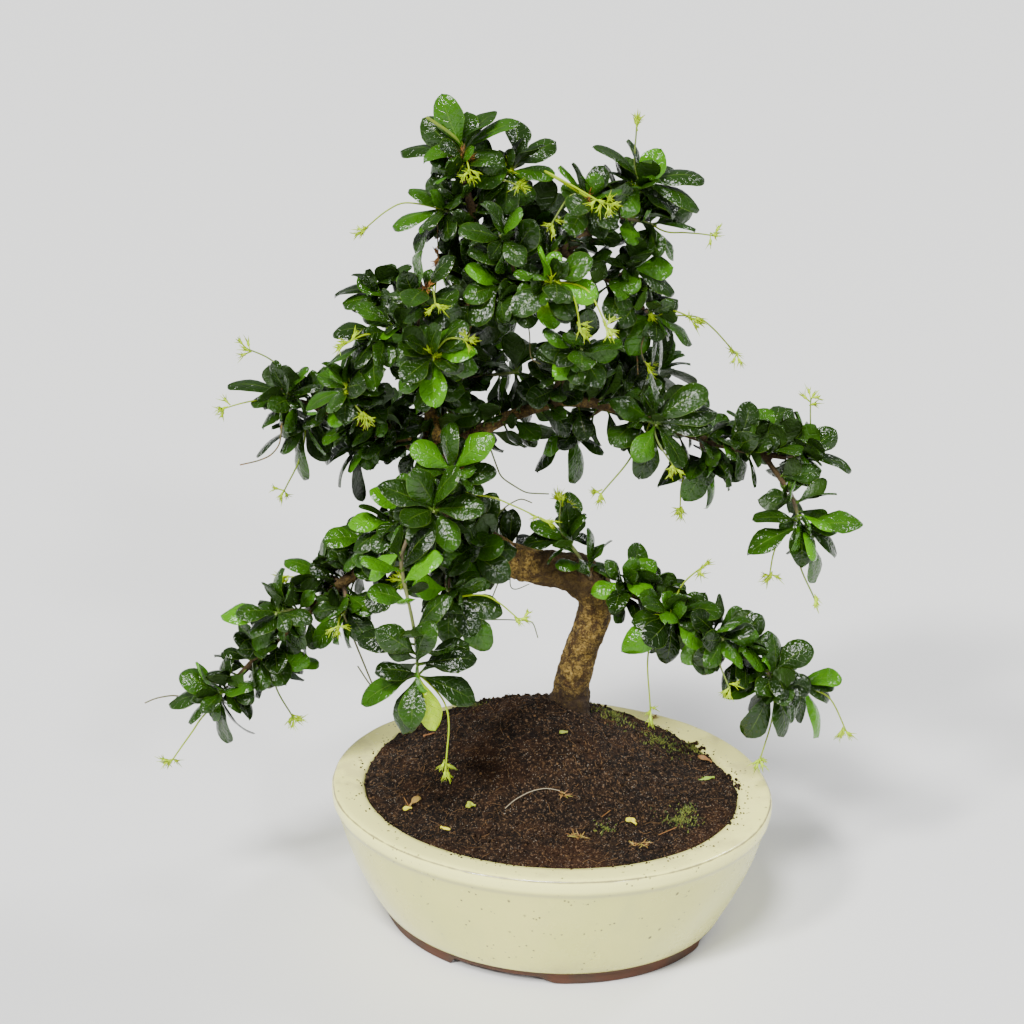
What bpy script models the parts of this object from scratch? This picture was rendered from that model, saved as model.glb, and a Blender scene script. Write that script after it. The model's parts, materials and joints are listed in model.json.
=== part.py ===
"""Fukien tea bonsai in a glazed oval pot.

Metres, +Z up. The pot's feet stand on z = 0, and the origin lies under the middle of the whole
plant. The tree is one piece of wood. Leafy shoots are seated on it, each one a green stem with
its leaves and flower buds. It stands in a hole in the soil, and the soil fills the pot.
"""

import math
import random
from dataclasses import dataclass

import bmesh
import bpy
from mathutils import Matrix, Vector, noise
from mathutils.bvhtree import BVHTree
from mathutils.geometry import delaunay_2d_cdt

MM = 0.001
GAP = 0.3 * MM                      # between pieces that touch
FLAT_ANGLE = 0.1                    # degrees under which two faces are one

# Where the pot's middle stands, from the origin
POT_AT = Vector((17.5, -7.5, 0.0)) * MM

# Pot: a gently oval bowl, turned so that its right end comes forward
POT_LENGTH = 200.0 * MM
POT_ROUND = 0.88                    # width as a share of length
POT_TURN = math.radians(-20.0)
POT_HEIGHT = 62.0 * MM
POT_STEPS = 32
RIM_WIDTH = 14.0 * MM
LIP_HEIGHT = 7.0 * MM
LIP_PROUD = 1.8 * MM
GLAZE_FOOT_Z = 6.0 * MM
FOOT_SHARE = 0.78                   # foot radius as a share of the rim's
FOOT_WIDTH = 10.0 * MM
RECESS = 3.5 * MM                   # the hollow under the base
FLOOR_Z = 10.0 * MM
FLOOR_EDGE = 12.0 * MM              # the floor ends this far inside the foot's radius
HEEL = (3.0 * MM, 5.0 * MM)         # the inside's low corner: in from the foot's radius, up from the floor
WALL_TOP = ((4.0 * MM, 16.0 * MM), (1.5 * MM, 3.0 * MM))    # in from the rim's inner edge, down from its top
RIM_FALL = 0.8 * MM                 # the flat rim falls towards the inside
LIP_ROUND = (1.6 * MM, 1.3 * MM)
BELLY = (7.6 * MM, 30.0 * MM)       # the side's middle: in from the body's radius, and its height
FOOT_STEP = (1.6 * MM, 1.2 * MM)    # where the glaze ends: out from the foot's radius, up from the step
DRAIN_AT = 32.0 * MM                # the two drain holes, along the pot's length
DRAIN_RADIUS = 6.0 * MM
ARCH_HEIGHT = 3.2 * MM
SIDE_ARCH = 60.0 * MM
SIDE_ARCH_TURN = math.radians(6.0)  # the long arches sit this far round from the middle of their side
END_ARCH = 30.0 * MM
ARCH_REACH = 40.0 * MM              # how far each arch's cutter runs through the foot
ARCH_RAMP = 0.35                    # the sloping share of an arch's width

# Screen over each drain hole
SCREEN_SIDE = 20.0 * MM
SCREEN_THICK = 0.9 * MM
SCREEN_HOLE = 3.4 * MM
SCREEN_PITCH = 5.4 * MM

# Soil: a mound, highest near the trunk
SOIL_EDGE_Z = 58.0 * MM
MOUND_HEIGHT = 28.0 * MM
MOUND_AT = Vector((-8.0, 28.0)) * MM
MOUND_REACH = Vector((88.0, 78.0)) * MM
HOLLOW_DEPTH = 2.6 * MM
HOLLOW_PITCH = 22.0 * MM            # between one shallow hollow in the soil and the next
SOIL_PITCH = 8.2 * MM               # between the points of the soil's surface

# The plan of the tree is drawn on the upright plane through the trunk, as seen from EYE.
# A point nearer or further than that plane keeps its line of sight.
EYE = Vector((-17.0, -800.0, 472.0))
PLANE_Y = 30.0
TREE_AXIS = Vector((-18.0, 36.0)) * MM

# Shoots, leaves and buds
STEM_RADIUS = 0.85 * MM
STALK_RADIUS = 0.45 * MM
BUD_LENGTH = 4.5 * MM
BUD_RADIUS = 2.2 * MM
LEAF_THICK = 0.9 * MM
LEAF_LENGTH = (17.0 * MM, 24.0 * MM)
PICKED_LENGTH = (13.0 * MM, 27.0 * MM)
LEAF_STATIONS = ((0.56, 0.97), (0.87, 0.76))    # share of length, share of half width
WANTED_LENGTH = (19.0 * MM, 24.0 * MM)
WIDEST = 14.0 * MM
OUTWARD = 14.0 * MM                 # how much more a blade looks to the front, or to the back behind BACK_Y
BACK_Y = 55.0 * MM
PICK_TRIES = 40                     # places tried for each picked leaf or bud
CLEAR = 0.75 * MM                   # kept round each blade
STEM_CLEAR = 0.5 * MM
STALK_CLEAR = 0.4 * MM
KEEP_OFF = 3.0 * MM                 # between a leaf and the ground, the soil or the pot's rim
ROOT_DEPTH = 1.3 * MM               # how far a leaf's or stalk's foot lies inside the stem's end
GOLDEN_ANGLE = math.radians(137.5)


def plan(x, y, z):
    """The point that stands at depth y behind the plan's point x, z. Millimetres in, metres out."""
    reach = (y - EYE.y) / (PLANE_Y - EYE.y)
    return Vector((EYE.x + (x - EYE.x) * reach, y, EYE.z + (z - EYE.z) * reach)) * MM


# Wood: each branch is its parent's name, then points x, depth, z and the radius there.
# A branch starts on its parent's middle line.
WOOD = {
    "trunk": (None, [
        (10, 34, 58, 7.8), (10, 34, 74, 7.8), (10, 34, 88, 7.8), (10.8, 34, 97, 8.2), (12.2, 34, 106, 8.0),
        (16, 34, 118, 7.6), (19.8, 33.5, 131, 8.0), (20, 33, 142, 8.8), (13, 33, 150.5, 9.2),
        (1, 33.5, 152.5, 8.5), (-13, 34.5, 155.5, 7.8), (-26, 36, 161, 8.2), (-38, 38, 171, 7.8),
        (-46, 40, 186, 6.8), (-50, 42, 206, 6.0), (-50, 43, 228, 5.2), (-45, 43, 250, 4.4),
        (-36, 41, 270, 3.7), (-30, 39, 290, 2.9), (-33, 37, 310, 2.3), (-37, 35, 326, 1.7)]),
    "low_right": ("trunk", [
        (20, 33, 142, 3.4), (36, 25, 142, 2.8), (52, 15, 132, 2.3), (72, 6, 121, 1.9),
        (90, 0, 110, 1.5), (98, -2, 105, 1.3)]),
    "low_left": ("trunk", [
        (-38, 38, 171, 4.2), (-56, 30, 169, 3.4), (-78, 20, 158, 2.9), (-102, 12, 138, 2.5),
        (-126, 5, 117, 2.1), (-141, 1, 101, 1.6), (-147, 0, 95, 1.3)]),
    "front": ("trunk", [
        (-26, 36, 161, 3.4), (-36, 22, 171, 2.8), (-45, 4, 179, 2.4), (-49, -12, 181, 1.6)]),
    "lower_front": ("trunk", [
        (-38, 38, 171, 3.0), (-46, 18, 161, 2.2), (-48, 2, 150, 1.7), (-46, -6, 144, 1.4)]),
    "mid_left": ("trunk", [
        (-50, 42, 206, 3.4), (-66, 40, 214, 2.8), (-88, 37, 223, 2.2), (-104, 34, 229, 1.6),
        (-110, 33, 231, 1.4)]),
    "mid_left_front": ("mid_left", [
        (-66, 40, 214, 2.3), (-74, 24, 222, 1.8), (-80, 10, 230, 1.5), (-82, 5, 233, 1.3)]),
    "mid_right": ("trunk", [
        (-50, 42, 206, 3.6), (-26, 40, 220, 3.0), (0, 35, 230, 2.7), (24, 28, 229, 2.4),
        (46, 20, 221, 2.1), (72, 15, 212, 1.8), (94, 14, 206, 1.5), (104, 14, 205, 1.3)]),
    "right_down": ("mid_right", [
        (94, 14, 206, 1.5), (102, 8, 197, 1.4), (106, 3, 189, 1.2)]),
    "crown_right": ("trunk", [
        (-36, 41, 270, 3.2), (-18, 40, 284, 2.6), (4, 38, 297, 2.2), (24, 36, 310, 1.8), (33, 35, 319, 1.4)]),
    "crown_right_low": ("crown_right", [
        (4, 38, 297, 2.0), (20, 36, 288, 1.7), (34, 32, 277, 1.4), (40, 30, 272, 1.2)]),
    "front_crown": ("trunk", [
        (-36, 41, 270, 2.8), (-26, 24, 276, 2.2), (-14, 5, 280, 1.7), (-6, -8, 282, 1.3)]),
    "left_shoulder": ("trunk", [
        (-45, 43, 250, 3.0), (-56, 40, 262, 2.3), (-66, 36, 272, 1.7), (-71, 34, 276, 1.3)]),
    "left_shoulder_low": ("trunk", [
        (-45, 43, 250, 2.8), (-54, 28, 257, 2.1), (-62, 12, 262, 1.6), (-66, 4, 264, 1.3)]),
    "front_mid": ("trunk", [
        (-50, 43, 228, 3.0), (-52, 24, 238, 2.3), (-52, 2, 246, 1.7), (-51, -10, 249, 1.3)]),
    "centre_front": ("mid_right", [
        (0, 35, 230, 2.2), (4, 18, 240, 1.8), (8, 2, 248, 1.5), (10, -4, 250, 1.3)]),
    "back_mid": ("trunk", [
        (-50, 43, 228, 3.0), (-42, 60, 240, 2.3), (-32, 76, 250, 1.6), (-29, 82, 253, 1.3)]),
    "back_crown": ("trunk", [
        (-30, 39, 290, 2.4), (-22, 54, 300, 1.8), (-12, 68, 307, 1.4)]),
    "back_right": ("mid_right", [
        (24, 28, 229, 2.2), (34, 46, 236, 1.8), (42, 64, 242, 1.4)]),
    "back_low": ("trunk", [
        (-13, 34.5, 155.5, 3.0), (-24, 54, 163, 2.2), (-40, 70, 168, 1.6), (-48, 76, 170, 1.3)]),
    "back_left": ("trunk", [
        (-50, 42, 206, 2.8), (-64, 58, 211, 2.1), (-79, 72, 217, 1.5), (-84, 76, 219, 1.3)]),
}
TRUNK_STEP = 10.0 * MM              # between rings along the trunk
BRANCH_STEP = 18.0 * MM


@dataclass
class Shoot:
    """A green stem on a branch, with its leaves and buds.

    tip is x, depth and z on the plan. tips and buds are x and z on the plan, with the depth from
    the shoot's own tip. more is how many further leaves are set round the stem by rule.
    """
    name: str
    parent: str
    tip: tuple
    tips: tuple = ()
    buds: tuple = ()
    more: int = 1
    end: bool = False
    via: tuple = ()


SHOOTS = [
    Shoot("crown_left", "trunk", (-37, 36, 341), end=True, more=2, buds=((-35, 331, -12),), tips=(
        (-46, 363, -2), (-65, 340, 2), (-36, 356, 6), (-14, 352, 4), (-54, 353, 0), (-54, 335, -10))),
    Shoot("crown_left_side", "trunk", (-48, 38, 315), buds=((-80, 306, -2),), tips=(
        (-68, 309, -4), (-58, 296, -4), (-36, 321, -8), (-44, 303, -10), (-60, 324, 0))),
    Shoot("crown_top_middle", "trunk", (-15, 44, 334), more=2, buds=((-14, 325, -16),), tips=(
        (1, 331, -6), (-33, 325, -12), (2, 343, 6), (-20, 313, -10))),
    Shoot("crown_right_top", "crown_right", (38, 36, 327), end=True, more=2, buds=((35, 350, 2),), tips=(
        (17, 342, -2), (46, 340, -2), (66, 329, 0), (66, 315, -4), (30, 312, -12))),
    Shoot("crown_right_side", "crown_right", (44, 42, 308), buds=((69, 304, 0),), tips=(
        (52, 293, -4), (61, 307, 0), (34, 296, -10), (54, 318, 4))),
    Shoot("crown_right_front", "crown_right", (15, 14, 320), buds=((24, 317, -14), (0, 309, -16)), tips=(
        (3, 333, -2), (29, 323, -6), (7, 304, -10), (27, 307, -10))),
    Shoot("crown_front", "front_crown", (-22, -6, 304), more=2, tips=(
        (-35, 296, -8), (-12, 291, -10), (-29, 318, -4), (-7, 309, -4))),
    Shoot("crown_middle", "back_crown", (2, 58, 300), more=2, tips=(
        (14, 290, -8), (-8, 286, -6), (16, 306, -2))),
    Shoot("upper_front", "front_crown", (1, -20, 284), end=True, buds=((12, 264, -8), (24, 263, -8)), tips=(
        (-16, 269, -8), (-4, 298, -4), (17, 293, -4), (9, 269, -8), (20, 279, -4))),
    Shoot("upper_front_left", "front_crown", (-22, -6, 282), more=1, tips=(
        (-36, 291, -4), (-22, 266, -8), (-38, 278, -6))),
    Shoot("right_shoulder", "crown_right_low", (36, 34, 289), more=1, tips=(
        (53, 293, -2), (42, 301, -2), (25, 295, -8), (53, 279, 0))),
    Shoot("right_side", "crown_right_low", (45, 34, 267), end=True, buds=((60, 268, -4), (79, 253, 0)), tips=(
        (61, 257, -2), (28, 262, -8), (47, 243, 4), (34, 251, -6), (55, 276, 4))),
    Shoot("right_inner_front", "centre_front", (13, -16, 254), end=True, tips=(
        (31, 257, -4), (3, 242, -6), (-3, 262, -6), (22, 238, -4), (15, 272, -2))),
    Shoot("middle_dark", "back_mid", (-14, 58, 244), tips=(
        (-30, 248, 0), (-14, 225, -4), (4, 228, 0), (-18, 262, -4))),
    Shoot("right_under", "back_right", (24, 52, 244), tips=(
        (12, 256, 2), (38, 237, -4), (18, 226, -8), (36, 254, 4))),
    Shoot("left_shoulder_end", "left_shoulder", (-75, 36, 280), end=True, tips=(
        (-69, 292, 0), (-83, 286, 2), (-90, 274, 0), (-60, 291, -2), (-80, 266, -8))),
    Shoot("left_shoulder_front", "left_shoulder_low", (-53, -10, 281), buds=((-50, 274, -12),), tips=(
        (-42, 294, -4), (-60, 268, -8), (-40, 276, -8), (-69, 278, -6), (-56, 297, 2))),
    Shoot("left_shoulder_low", "left_shoulder_low", (-77, -4, 257), end=True, buds=((-88, 257, -12),), tips=(
        (-94, 263, -4), (-97, 247, -2), (-86, 246, -8), (-66, 264, -6), (-63, 248, -6))),
    Shoot("middle_front", "front_mid", (-51, -22, 250), end=True, more=1, buds=((-36, 258, -10),), tips=(
        (-51, 228, -8), (-66, 236, -6), (-33, 253, -6), (-38, 267, -2), (-66, 256, -4))),
    Shoot("left_end", "mid_left", (-116, 32, 233), end=True, buds=((-131, 254, 0), (-142, 228, 0)), tips=(
        (-141, 238, 0), (-122, 248, 0), (-106, 247, -2), (-131, 230, -2), (-127, 219, -6), (-101, 239, -8))),
    Shoot("left_under", "mid_left", (-109, 40, 219), buds=((-118, 190, 0),), tips=(
        (-109, 194, -4), (-119, 207, -2), (-131, 206, 2), (-97, 204, 2))),
    Shoot("left_mid_top", "mid_left_front", (-90, -4, 236), end=True, buds=((-81, 224, -12),), tips=(
        (-99, 249, 0), (-82, 247, -2), (-97, 220, -6), (-74, 239, -6), (-107, 227, -4))),
    Shoot("left_mid_low", "mid_left", (-84, 44, 211), tips=(
        (-100, 203, 4), (-83, 182, 0), (-90, 199, -8), (-68, 205, -8), (-74, 222, -2))),
    Shoot("left_inner", "back_left", (-66, 56, 226), tips=(
        (-64, 206, -6), (-80, 226, -6), (-52, 216, -8), (-54, 232, -4))),
    Shoot("front_centre", "front", (-52, -26, 180), end=True, tips=(
        (-76, 193, -4), (-60, 198, -6), (-40, 199, -8), (-29, 182, -6), (-64, 165, -8), (-42, 162, -8))),
    Shoot("front_upper", "front", (-43, -16, 199), more=2, buds=((-3, 176, -2),), tips=(
        (-61, 211, -4), (-26, 216, -4), (-39, 218, 2), (-24, 198, -2))),
    Shoot("front_left", "front", (-72, -8, 173), tips=(
        (-90, 174, -2), (-88, 161, -6), (-72, 154, -6), (-80, 190, 2))),
    Shoot("limb_front", "lower_front", (-33, 2, 160), more=1, tips=(
        (-21, 165, -4), (-18, 148, -6), (-46, 150, -8), (-30, 142, -8))),
    Shoot("lower_centre", "lower_front", (-42, -14, 137), end=True, buds=((-14, 128, -4),), tips=(
        (-27, 113, -6), (-46, 115, -8), (-21, 132, -4), (-58, 132, -6), (-33, 122, -10))),
    Shoot("lower_centre_left", "low_left", (-68, 2, 150), tips=(
        (-88, 150, -4), (-76, 132, -8), (-58, 140, -8), (-62, 164, -4))),
    Shoot("hanging", "front", (-60, -42, 99), more=1, buds=((-48, 55, -6),),
          via=((-60, -26, 172), (-67, -35, 158), (-64, -39, 138), (-61, -41, 120)), tips=(
        (-84, 158, -4), (-49, 160, -4), (-69, 173, -2), (-53, 171, 2), (-82, 143, -2), (-54, 126, -8),
        (-46, 140, -2), (-78, 124, -6), (-91, 82, -4), (-69, 71, -6), (-51, 73, -8), (-31, 87, 0),
        (-33, 108, -2), (-79, 103, -8), (-88, 118, 2), (-37, 118, 6))),
    Shoot("low_left_upper", "low_left", (-83, 6, 166), tips=(
        (-98, 164, -4), (-68, 175, -4), (-80, 148, -8), (-93, 153, -8))),
    Shoot("low_left_middle", "low_left", (-104, 24, 149), buds=((-119, 149, -6),), tips=(
        (-119, 157, 0), (-112, 140, -8), (-94, 138, -8), (-98, 162, 0))),
    Shoot("low_left_outer", "low_left", (-124, -8, 131), tips=(
        (-149, 131, 0), (-137, 122, -4), (-108, 127, -6), (-117, 144, 0))),
    Shoot("low_left_hang", "low_left", (-126, 10, 106), more=1, buds=((-118, 80, -4),), tips=(
        (-105, 107, -2), (-113, 97, 0), (-139, 114, -4))),
    Shoot("low_left_end", "low_left", (-152, 0, 90), end=True, more=1, buds=((-176, 56, 0),), tips=(
        (-169, 101, -2), (-146, 111, 2), (-175, 86, 2), (-149, 66, -4), (-137, 70, 2), (-134, 101, -6))),
    Shoot("low_left_inner", "low_left", (-93, 0, 130), buds=((-96, 123, -10),), tips=(
        (-99, 116, 0), (-82, 116, -4), (-108, 127, 4), (-80, 131, -6))),
    Shoot("right_in", "back_right", (8, 50, 216), tips=(
        (12, 193, -6), (-4, 208, -4), (24, 208, -6), (-14, 218, 0))),
    Shoot("right_mid", "mid_right", (46, 2, 220), buds=((54, 202, -8), (22, 188, -6)), tips=(
        (27, 233, -2), (42, 243, 0), (72, 240, 0), (82, 228, 2), (70, 219, -4), (58, 200, -8), (39, 195, -8),
        (28, 212, -6))),
    Shoot("right_mid_low", "mid_right", (70, 24, 203), buds=((58, 181, -2),), tips=(
        (59, 185, -4), (47, 192, 0), (80, 190, 0), (52, 203, -6))),
    Shoot("right_outer", "mid_right", (88, 30, 216), tips=(
        (77, 227, 0), (98, 226, -2), (82, 202, -8), (104, 212, -6), (68, 212, 2))),
    Shoot("right_end", "mid_right", (112, 16, 206), end=True, more=1, buds=((113, 231, 2),), tips=(
        (125, 218, 0), (133, 199, -2), (115, 221, -4), (105, 189, -8), (92, 203, -8), (120, 193, -4))),
    Shoot("right_end_low", "right_down", (112, -4, 171), end=True, buds=((120, 138, -6), (99, 149, 0)), tips=(
        (88, 160, -4), (90, 176, 0), (112, 153, -8), (120, 142, 0), (142, 173, 0), (129, 160, 4))),
    Shoot("low_right_inner", "low_right", (35, 22, 146), tips=(
        (19, 140, -4), (26, 157, 0), (47, 157, 2), (45, 135, -8), (29, 130, -8), (52, 146, -6))),
    Shoot("low_right_middle", "low_right", (56, -2, 129), buds=((68, 153, 0), (47, 82, -2)), tips=(
        (33, 111, -4), (37, 127, 0), (60, 144, 0), (78, 133, -2), (70, 113, -8), (53, 106, -6), (42, 136, -8))),
    Shoot("low_right_outer", "low_right", (79, -10, 118), buds=((83, 94, -10),), tips=(
        (92, 126, 0), (66, 105, -4), (88, 104, -8), (70, 122, -6), (76, 101, 2))),
    Shoot("low_right_end", "low_right", (103, -4, 95), end=True, more=1, buds=((98, 57, -4),), tips=(
        (101, 122, 2), (118, 117, 0), (88, 110, -8), (80, 90, -4), (90, 66, -6), (109, 69, -6))),
    Shoot("low_right_tip", "low_right", (116, 8, 94), buds=((137, 73, 0),), more=1, tips=(
        (134, 100, 0), (127, 68, 0), (116, 76, -8), (130, 90, 4), (112, 108, 4))),
    Shoot("elbow", "trunk", (7, 20, 167), buds=((5, 184, 0),), tips=(
        (18, 172, 0), (-12, 164, 0), (25, 160, -2), (-8, 176, 4))),
    Shoot("back_middle", "back_mid", (-27, 92, 258), end=True, more=6),
    Shoot("back_crown_end", "back_crown", (-8, 79, 311), end=True, more=6),
    Shoot("back_crown_left", "back_crown", (-36, 64, 316), more=6),
    Shoot("back_right_end", "back_right", (46, 76, 246), end=True, more=7),
    Shoot("back_low_end", "back_low", (-57, 86, 176), end=True, more=6),
    Shoot("back_left_end", "back_left", (-90, 82, 223), end=True, more=7),
]


@dataclass
class Leaf:
    """A blade: where it grows from, the way it points, the way its upper face looks, and its size."""
    base: Vector
    along: Vector
    up: Vector
    length: float
    width: float
    arch: float
    curl: float


def clear_scene():
    for old in list(bpy.data.objects):
        bpy.data.objects.remove(old)


def new_collection(name):
    made = bpy.data.collections.new(name)
    bpy.context.scene.collection.children.link(made)
    return made


def material(name, colour, roughness, metallic=0.0):
    made = bpy.data.materials.new(name)
    made.use_nodes = True
    shader = made.node_tree.nodes["Principled BSDF"]
    shader.inputs["Base Color"].default_value = (*colour, 1.0)
    shader.inputs["Roughness"].default_value = roughness
    shader.inputs["Metallic"].default_value = metallic
    made.diffuse_color = (*colour, 1.0)
    return made


def mesh_from(bm, name):
    mesh = bpy.data.meshes.new(name)
    bm.to_mesh(mesh)
    bm.free()
    return mesh


def place(name, mesh, collection):
    made = bpy.data.objects.new(name, mesh)
    collection.objects.link(made)
    return made


def evaluated_mesh(obj):
    bpy.context.view_layer.update()
    return bpy.data.meshes.new_from_object(obj.evaluated_get(bpy.context.evaluated_depsgraph_get()))


def settle(obj, join_flat=False):
    """Applies the object's modifiers, and keeps the one body that holds together."""
    bm = bmesh.new()
    bm.from_mesh(evaluated_mesh(obj))
    obj.modifiers.clear()
    bmesh.ops.remove_doubles(bm, verts=bm.verts, dist=1e-6)
    if join_flat:
        bmesh.ops.dissolve_limit(bm, angle_limit=math.radians(FLAT_ANGLE), verts=bm.verts, edges=bm.edges)
    bmesh.ops.triangulate(bm, faces=bm.faces)
    bmesh.ops.dissolve_degenerate(bm, edges=bm.edges, dist=1e-6)
    drop_scraps(bm)
    bm.to_mesh(obj.data)
    bm.free()
    return obj


def drop_scraps(bm):
    """Keeps the largest body of those whose faces share edges."""
    left = set(bm.faces)
    bodies = []
    while left:
        body = [left.pop()]
        for face in body:
            for edge in face.edges:
                for other in edge.link_faces:
                    if other in left:
                        left.remove(other)
                        body.append(other)
        bodies.append(body)
    bodies.sort(key=len)
    scraps = [face for body in bodies[:-1] for face in body]
    bmesh.ops.delete(bm, geom=scraps, context="FACES")


def boolean(obj, others, operation, solver):
    """One Boolean on a collection of the others, applied, with the others then removed."""
    group = new_collection(obj.name + "_with")
    for other in others:
        for home in list(other.users_collection):
            home.objects.unlink(other)
        other.hide_render = True
        other.display_type = "WIRE"
        group.objects.link(other)
    step = obj.modifiers.new(operation.title(), "BOOLEAN")
    step.operation = operation
    step.operand_type = "COLLECTION"
    step.collection = group
    step.solver = solver
    settle(obj, join_flat=True)
    for other in others:
        bpy.data.objects.remove(other)
    bpy.data.collections.remove(group)
    return obj


def shade(obj, angle=40.0):
    obj.data.shade_smooth()
    obj.data.set_sharp_from_angle(angle=math.radians(angle))


def smooth_path(points, steps):
    """Points on a Catmull-Rom curve through the given ones, each a Vector of any size."""
    ends = [2 * points[0] - points[1], *points, 2 * points[-1] - points[-2]]
    path = []
    for start in range(len(points) - 1):
        a, b, c, d = ends[start:start + 4]
        for step in range(steps):
            t = step / steps
            path.append(0.5 * (2 * b + (c - a) * t + (2 * a - 5 * b + 4 * c - d) * t ** 2
                               + (3 * b - a - 3 * c + d) * t ** 3))
    path.append(points[-1].copy())
    return path


def tube(name, path, radii, collection, resolution=0):
    """A curve with a bevel along the path, filled at its ends, made a mesh."""
    curve = bpy.data.curves.new(name, "CURVE")
    curve.dimensions = "3D"
    curve.bevel_depth = MM
    curve.bevel_resolution = resolution
    curve.use_fill_caps = True
    line = curve.splines.new("POLY")
    line.points.add(len(path) - 1)
    for point, spot, radius in zip(line.points, path, radii):
        point.co = (*spot, 1.0)
        point.radius = radius / MM
    made = place(name + "_line", curve, collection)
    bm = bmesh.new()
    bm.from_mesh(evaluated_mesh(made))
    bmesh.ops.remove_doubles(bm, verts=bm.verts, dist=1e-6)
    bmesh.ops.recalc_face_normals(bm, faces=bm.faces)
    solid = place(name, mesh_from(bm, name), collection)
    solid.matrix_world = made.matrix_world
    bpy.data.objects.remove(made)
    return solid


def turned(name, profile, collection):
    """The profile of radii and heights, turned into an oval piece in the pot's own place."""
    bm = bmesh.new()
    verts = [bm.verts.new((radius, 0.0, height)) for radius, height in profile]
    for first, second in zip(verts, verts[1:]):
        bm.edges.new((first, second))
    made = place(name, mesh_from(bm, name), collection)
    screw = made.modifiers.new("Turn", "SCREW")
    screw.steps = POT_STEPS
    screw.render_steps = POT_STEPS
    screw.use_merge_vertices = True
    screw.merge_threshold = 0.0001
    settle(made)
    made.data.transform(Matrix.Rotation(POT_TURN, 4, "Z") @ Matrix.Diagonal((1.0, POT_ROUND, 1.0, 1.0)))
    return made


def box(name, size, middle, collection, turn=POT_TURN):
    """A box on the pot's own axes."""
    bm = bmesh.new()
    bmesh.ops.create_cube(bm, size=1.0)
    bmesh.ops.transform(bm, matrix=Matrix.Rotation(turn, 4, "Z") @ Matrix.Translation(middle)
                        @ Matrix.Diagonal((*size, 1.0)), verts=bm.verts)
    return place(name, mesh_from(bm, name), collection)


def cylinder(name, radius, low, high, middle, collection, segments=24):
    bm = bmesh.new()
    bmesh.ops.create_cone(bm, cap_ends=True, segments=segments, radius1=radius, radius2=radius,
                          depth=high - low)
    bmesh.ops.translate(bm, vec=(middle.x, middle.y, (low + high) / 2), verts=bm.verts)
    return place(name, mesh_from(bm, name), collection)


def pot_point(along, across, height=0.0):
    """A point given along the pot's length and across it."""
    return Matrix.Rotation(POT_TURN, 3, "Z") @ Vector((along, across, height))


def inner_profile(clear=0.0):
    """The pot's inside, from the floor's edge up to the rim, with a clearance."""
    rim = POT_LENGTH / 2
    foot = rim * FOOT_SHARE
    walls = [(rim - RIM_WIDTH - inside - clear, POT_HEIGHT - below) for inside, below in WALL_TOP]
    return [(foot - FLOOR_EDGE - clear, FLOOR_Z + clear),
            (foot - HEEL[0] - clear, FLOOR_Z + HEEL[1] + clear), *walls]


def arch_cutter(name, across_length, width, collection):
    """A wedge through the foot ring: upright on one side, a ramp on the other."""
    cutter = box(name, (width, ARCH_REACH, 2 * ARCH_HEIGHT), Vector((0, 0, 0)), collection, turn=0.0)
    for vert in cutter.data.vertices:
        if vert.co.z > 0 and vert.co.x > 0:
            vert.co.x -= width * ARCH_RAMP
    turn, distance = across_length
    cutter.data.transform(Matrix.Rotation(POT_TURN + turn, 4, "Z") @ Matrix.Translation((0, -distance, 0)))
    return cutter


def build_pot(collection):
    rim = POT_LENGTH / 2
    foot = rim * FOOT_SHARE
    body = rim - LIP_PROUD
    outer = [(rim - RIM_WIDTH, POT_HEIGHT - RIM_FALL), (rim - LIP_ROUND[0], POT_HEIGHT),
             (rim, POT_HEIGHT - LIP_ROUND[1]), (rim, POT_HEIGHT - LIP_HEIGHT),
             (body, POT_HEIGHT - LIP_HEIGHT - 1.0 * MM), (body - BELLY[0], BELLY[1]),
             (foot + FOOT_STEP[0], GLAZE_FOOT_Z + FOOT_STEP[1]), (foot - 0.6 * MM, GLAZE_FOOT_Z),
             (foot - 1.4 * MM, 0.0), (foot - FOOT_WIDTH, 0.0), (foot - FOOT_WIDTH - 1 * MM, RECESS),
             (0.0, RECESS)]
    pot = turned("pot", [(0.0, FLOOR_Z), *inner_profile(), *outer], collection)
    cutters = [arch_cutter("front_arch", (SIDE_ARCH_TURN, foot * POT_ROUND), SIDE_ARCH, collection),
               arch_cutter("back_arch", (SIDE_ARCH_TURN + math.pi, foot * POT_ROUND), SIDE_ARCH, collection),
               arch_cutter("right_arch", (math.pi / 2, foot), END_ARCH, collection),
               arch_cutter("left_arch", (-math.pi / 2, foot), END_ARCH, collection)]
    for side in (-1, 1):
        cutters.append(cylinder("drain", DRAIN_RADIUS, 0.0, FLOOR_Z + 2 * MM, pot_point(side * DRAIN_AT, 0.0),
                                collection, segments=16))
    boolean(pot, cutters, "DIFFERENCE", "EXACT")
    shade(pot, 30.0)
    pot.data.materials.append(material("cream_glaze", (0.72, 0.68, 0.54), 0.32))
    return pot


def build_screen(name, side, collection):
    middle = Vector((side * DRAIN_AT, 0.0, FLOOR_Z + GAP + SCREEN_THICK / 2))
    screen = box(name, (SCREEN_SIDE, SCREEN_SIDE, SCREEN_THICK), middle, collection)
    holes = []
    for row in (-1, 0, 1):
        for column in (-1, 0, 1):
            spot = middle + Vector((row, column, 0.0)) * SCREEN_PITCH
            holes.append(box("screen_hole", (SCREEN_HOLE, SCREEN_HOLE, 4 * SCREEN_THICK), spot, collection))
    boolean(screen, holes, "DIFFERENCE", "EXACT")
    screen.data.materials.append(material(name, (0.02, 0.02, 0.02), 0.6))
    return screen


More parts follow.
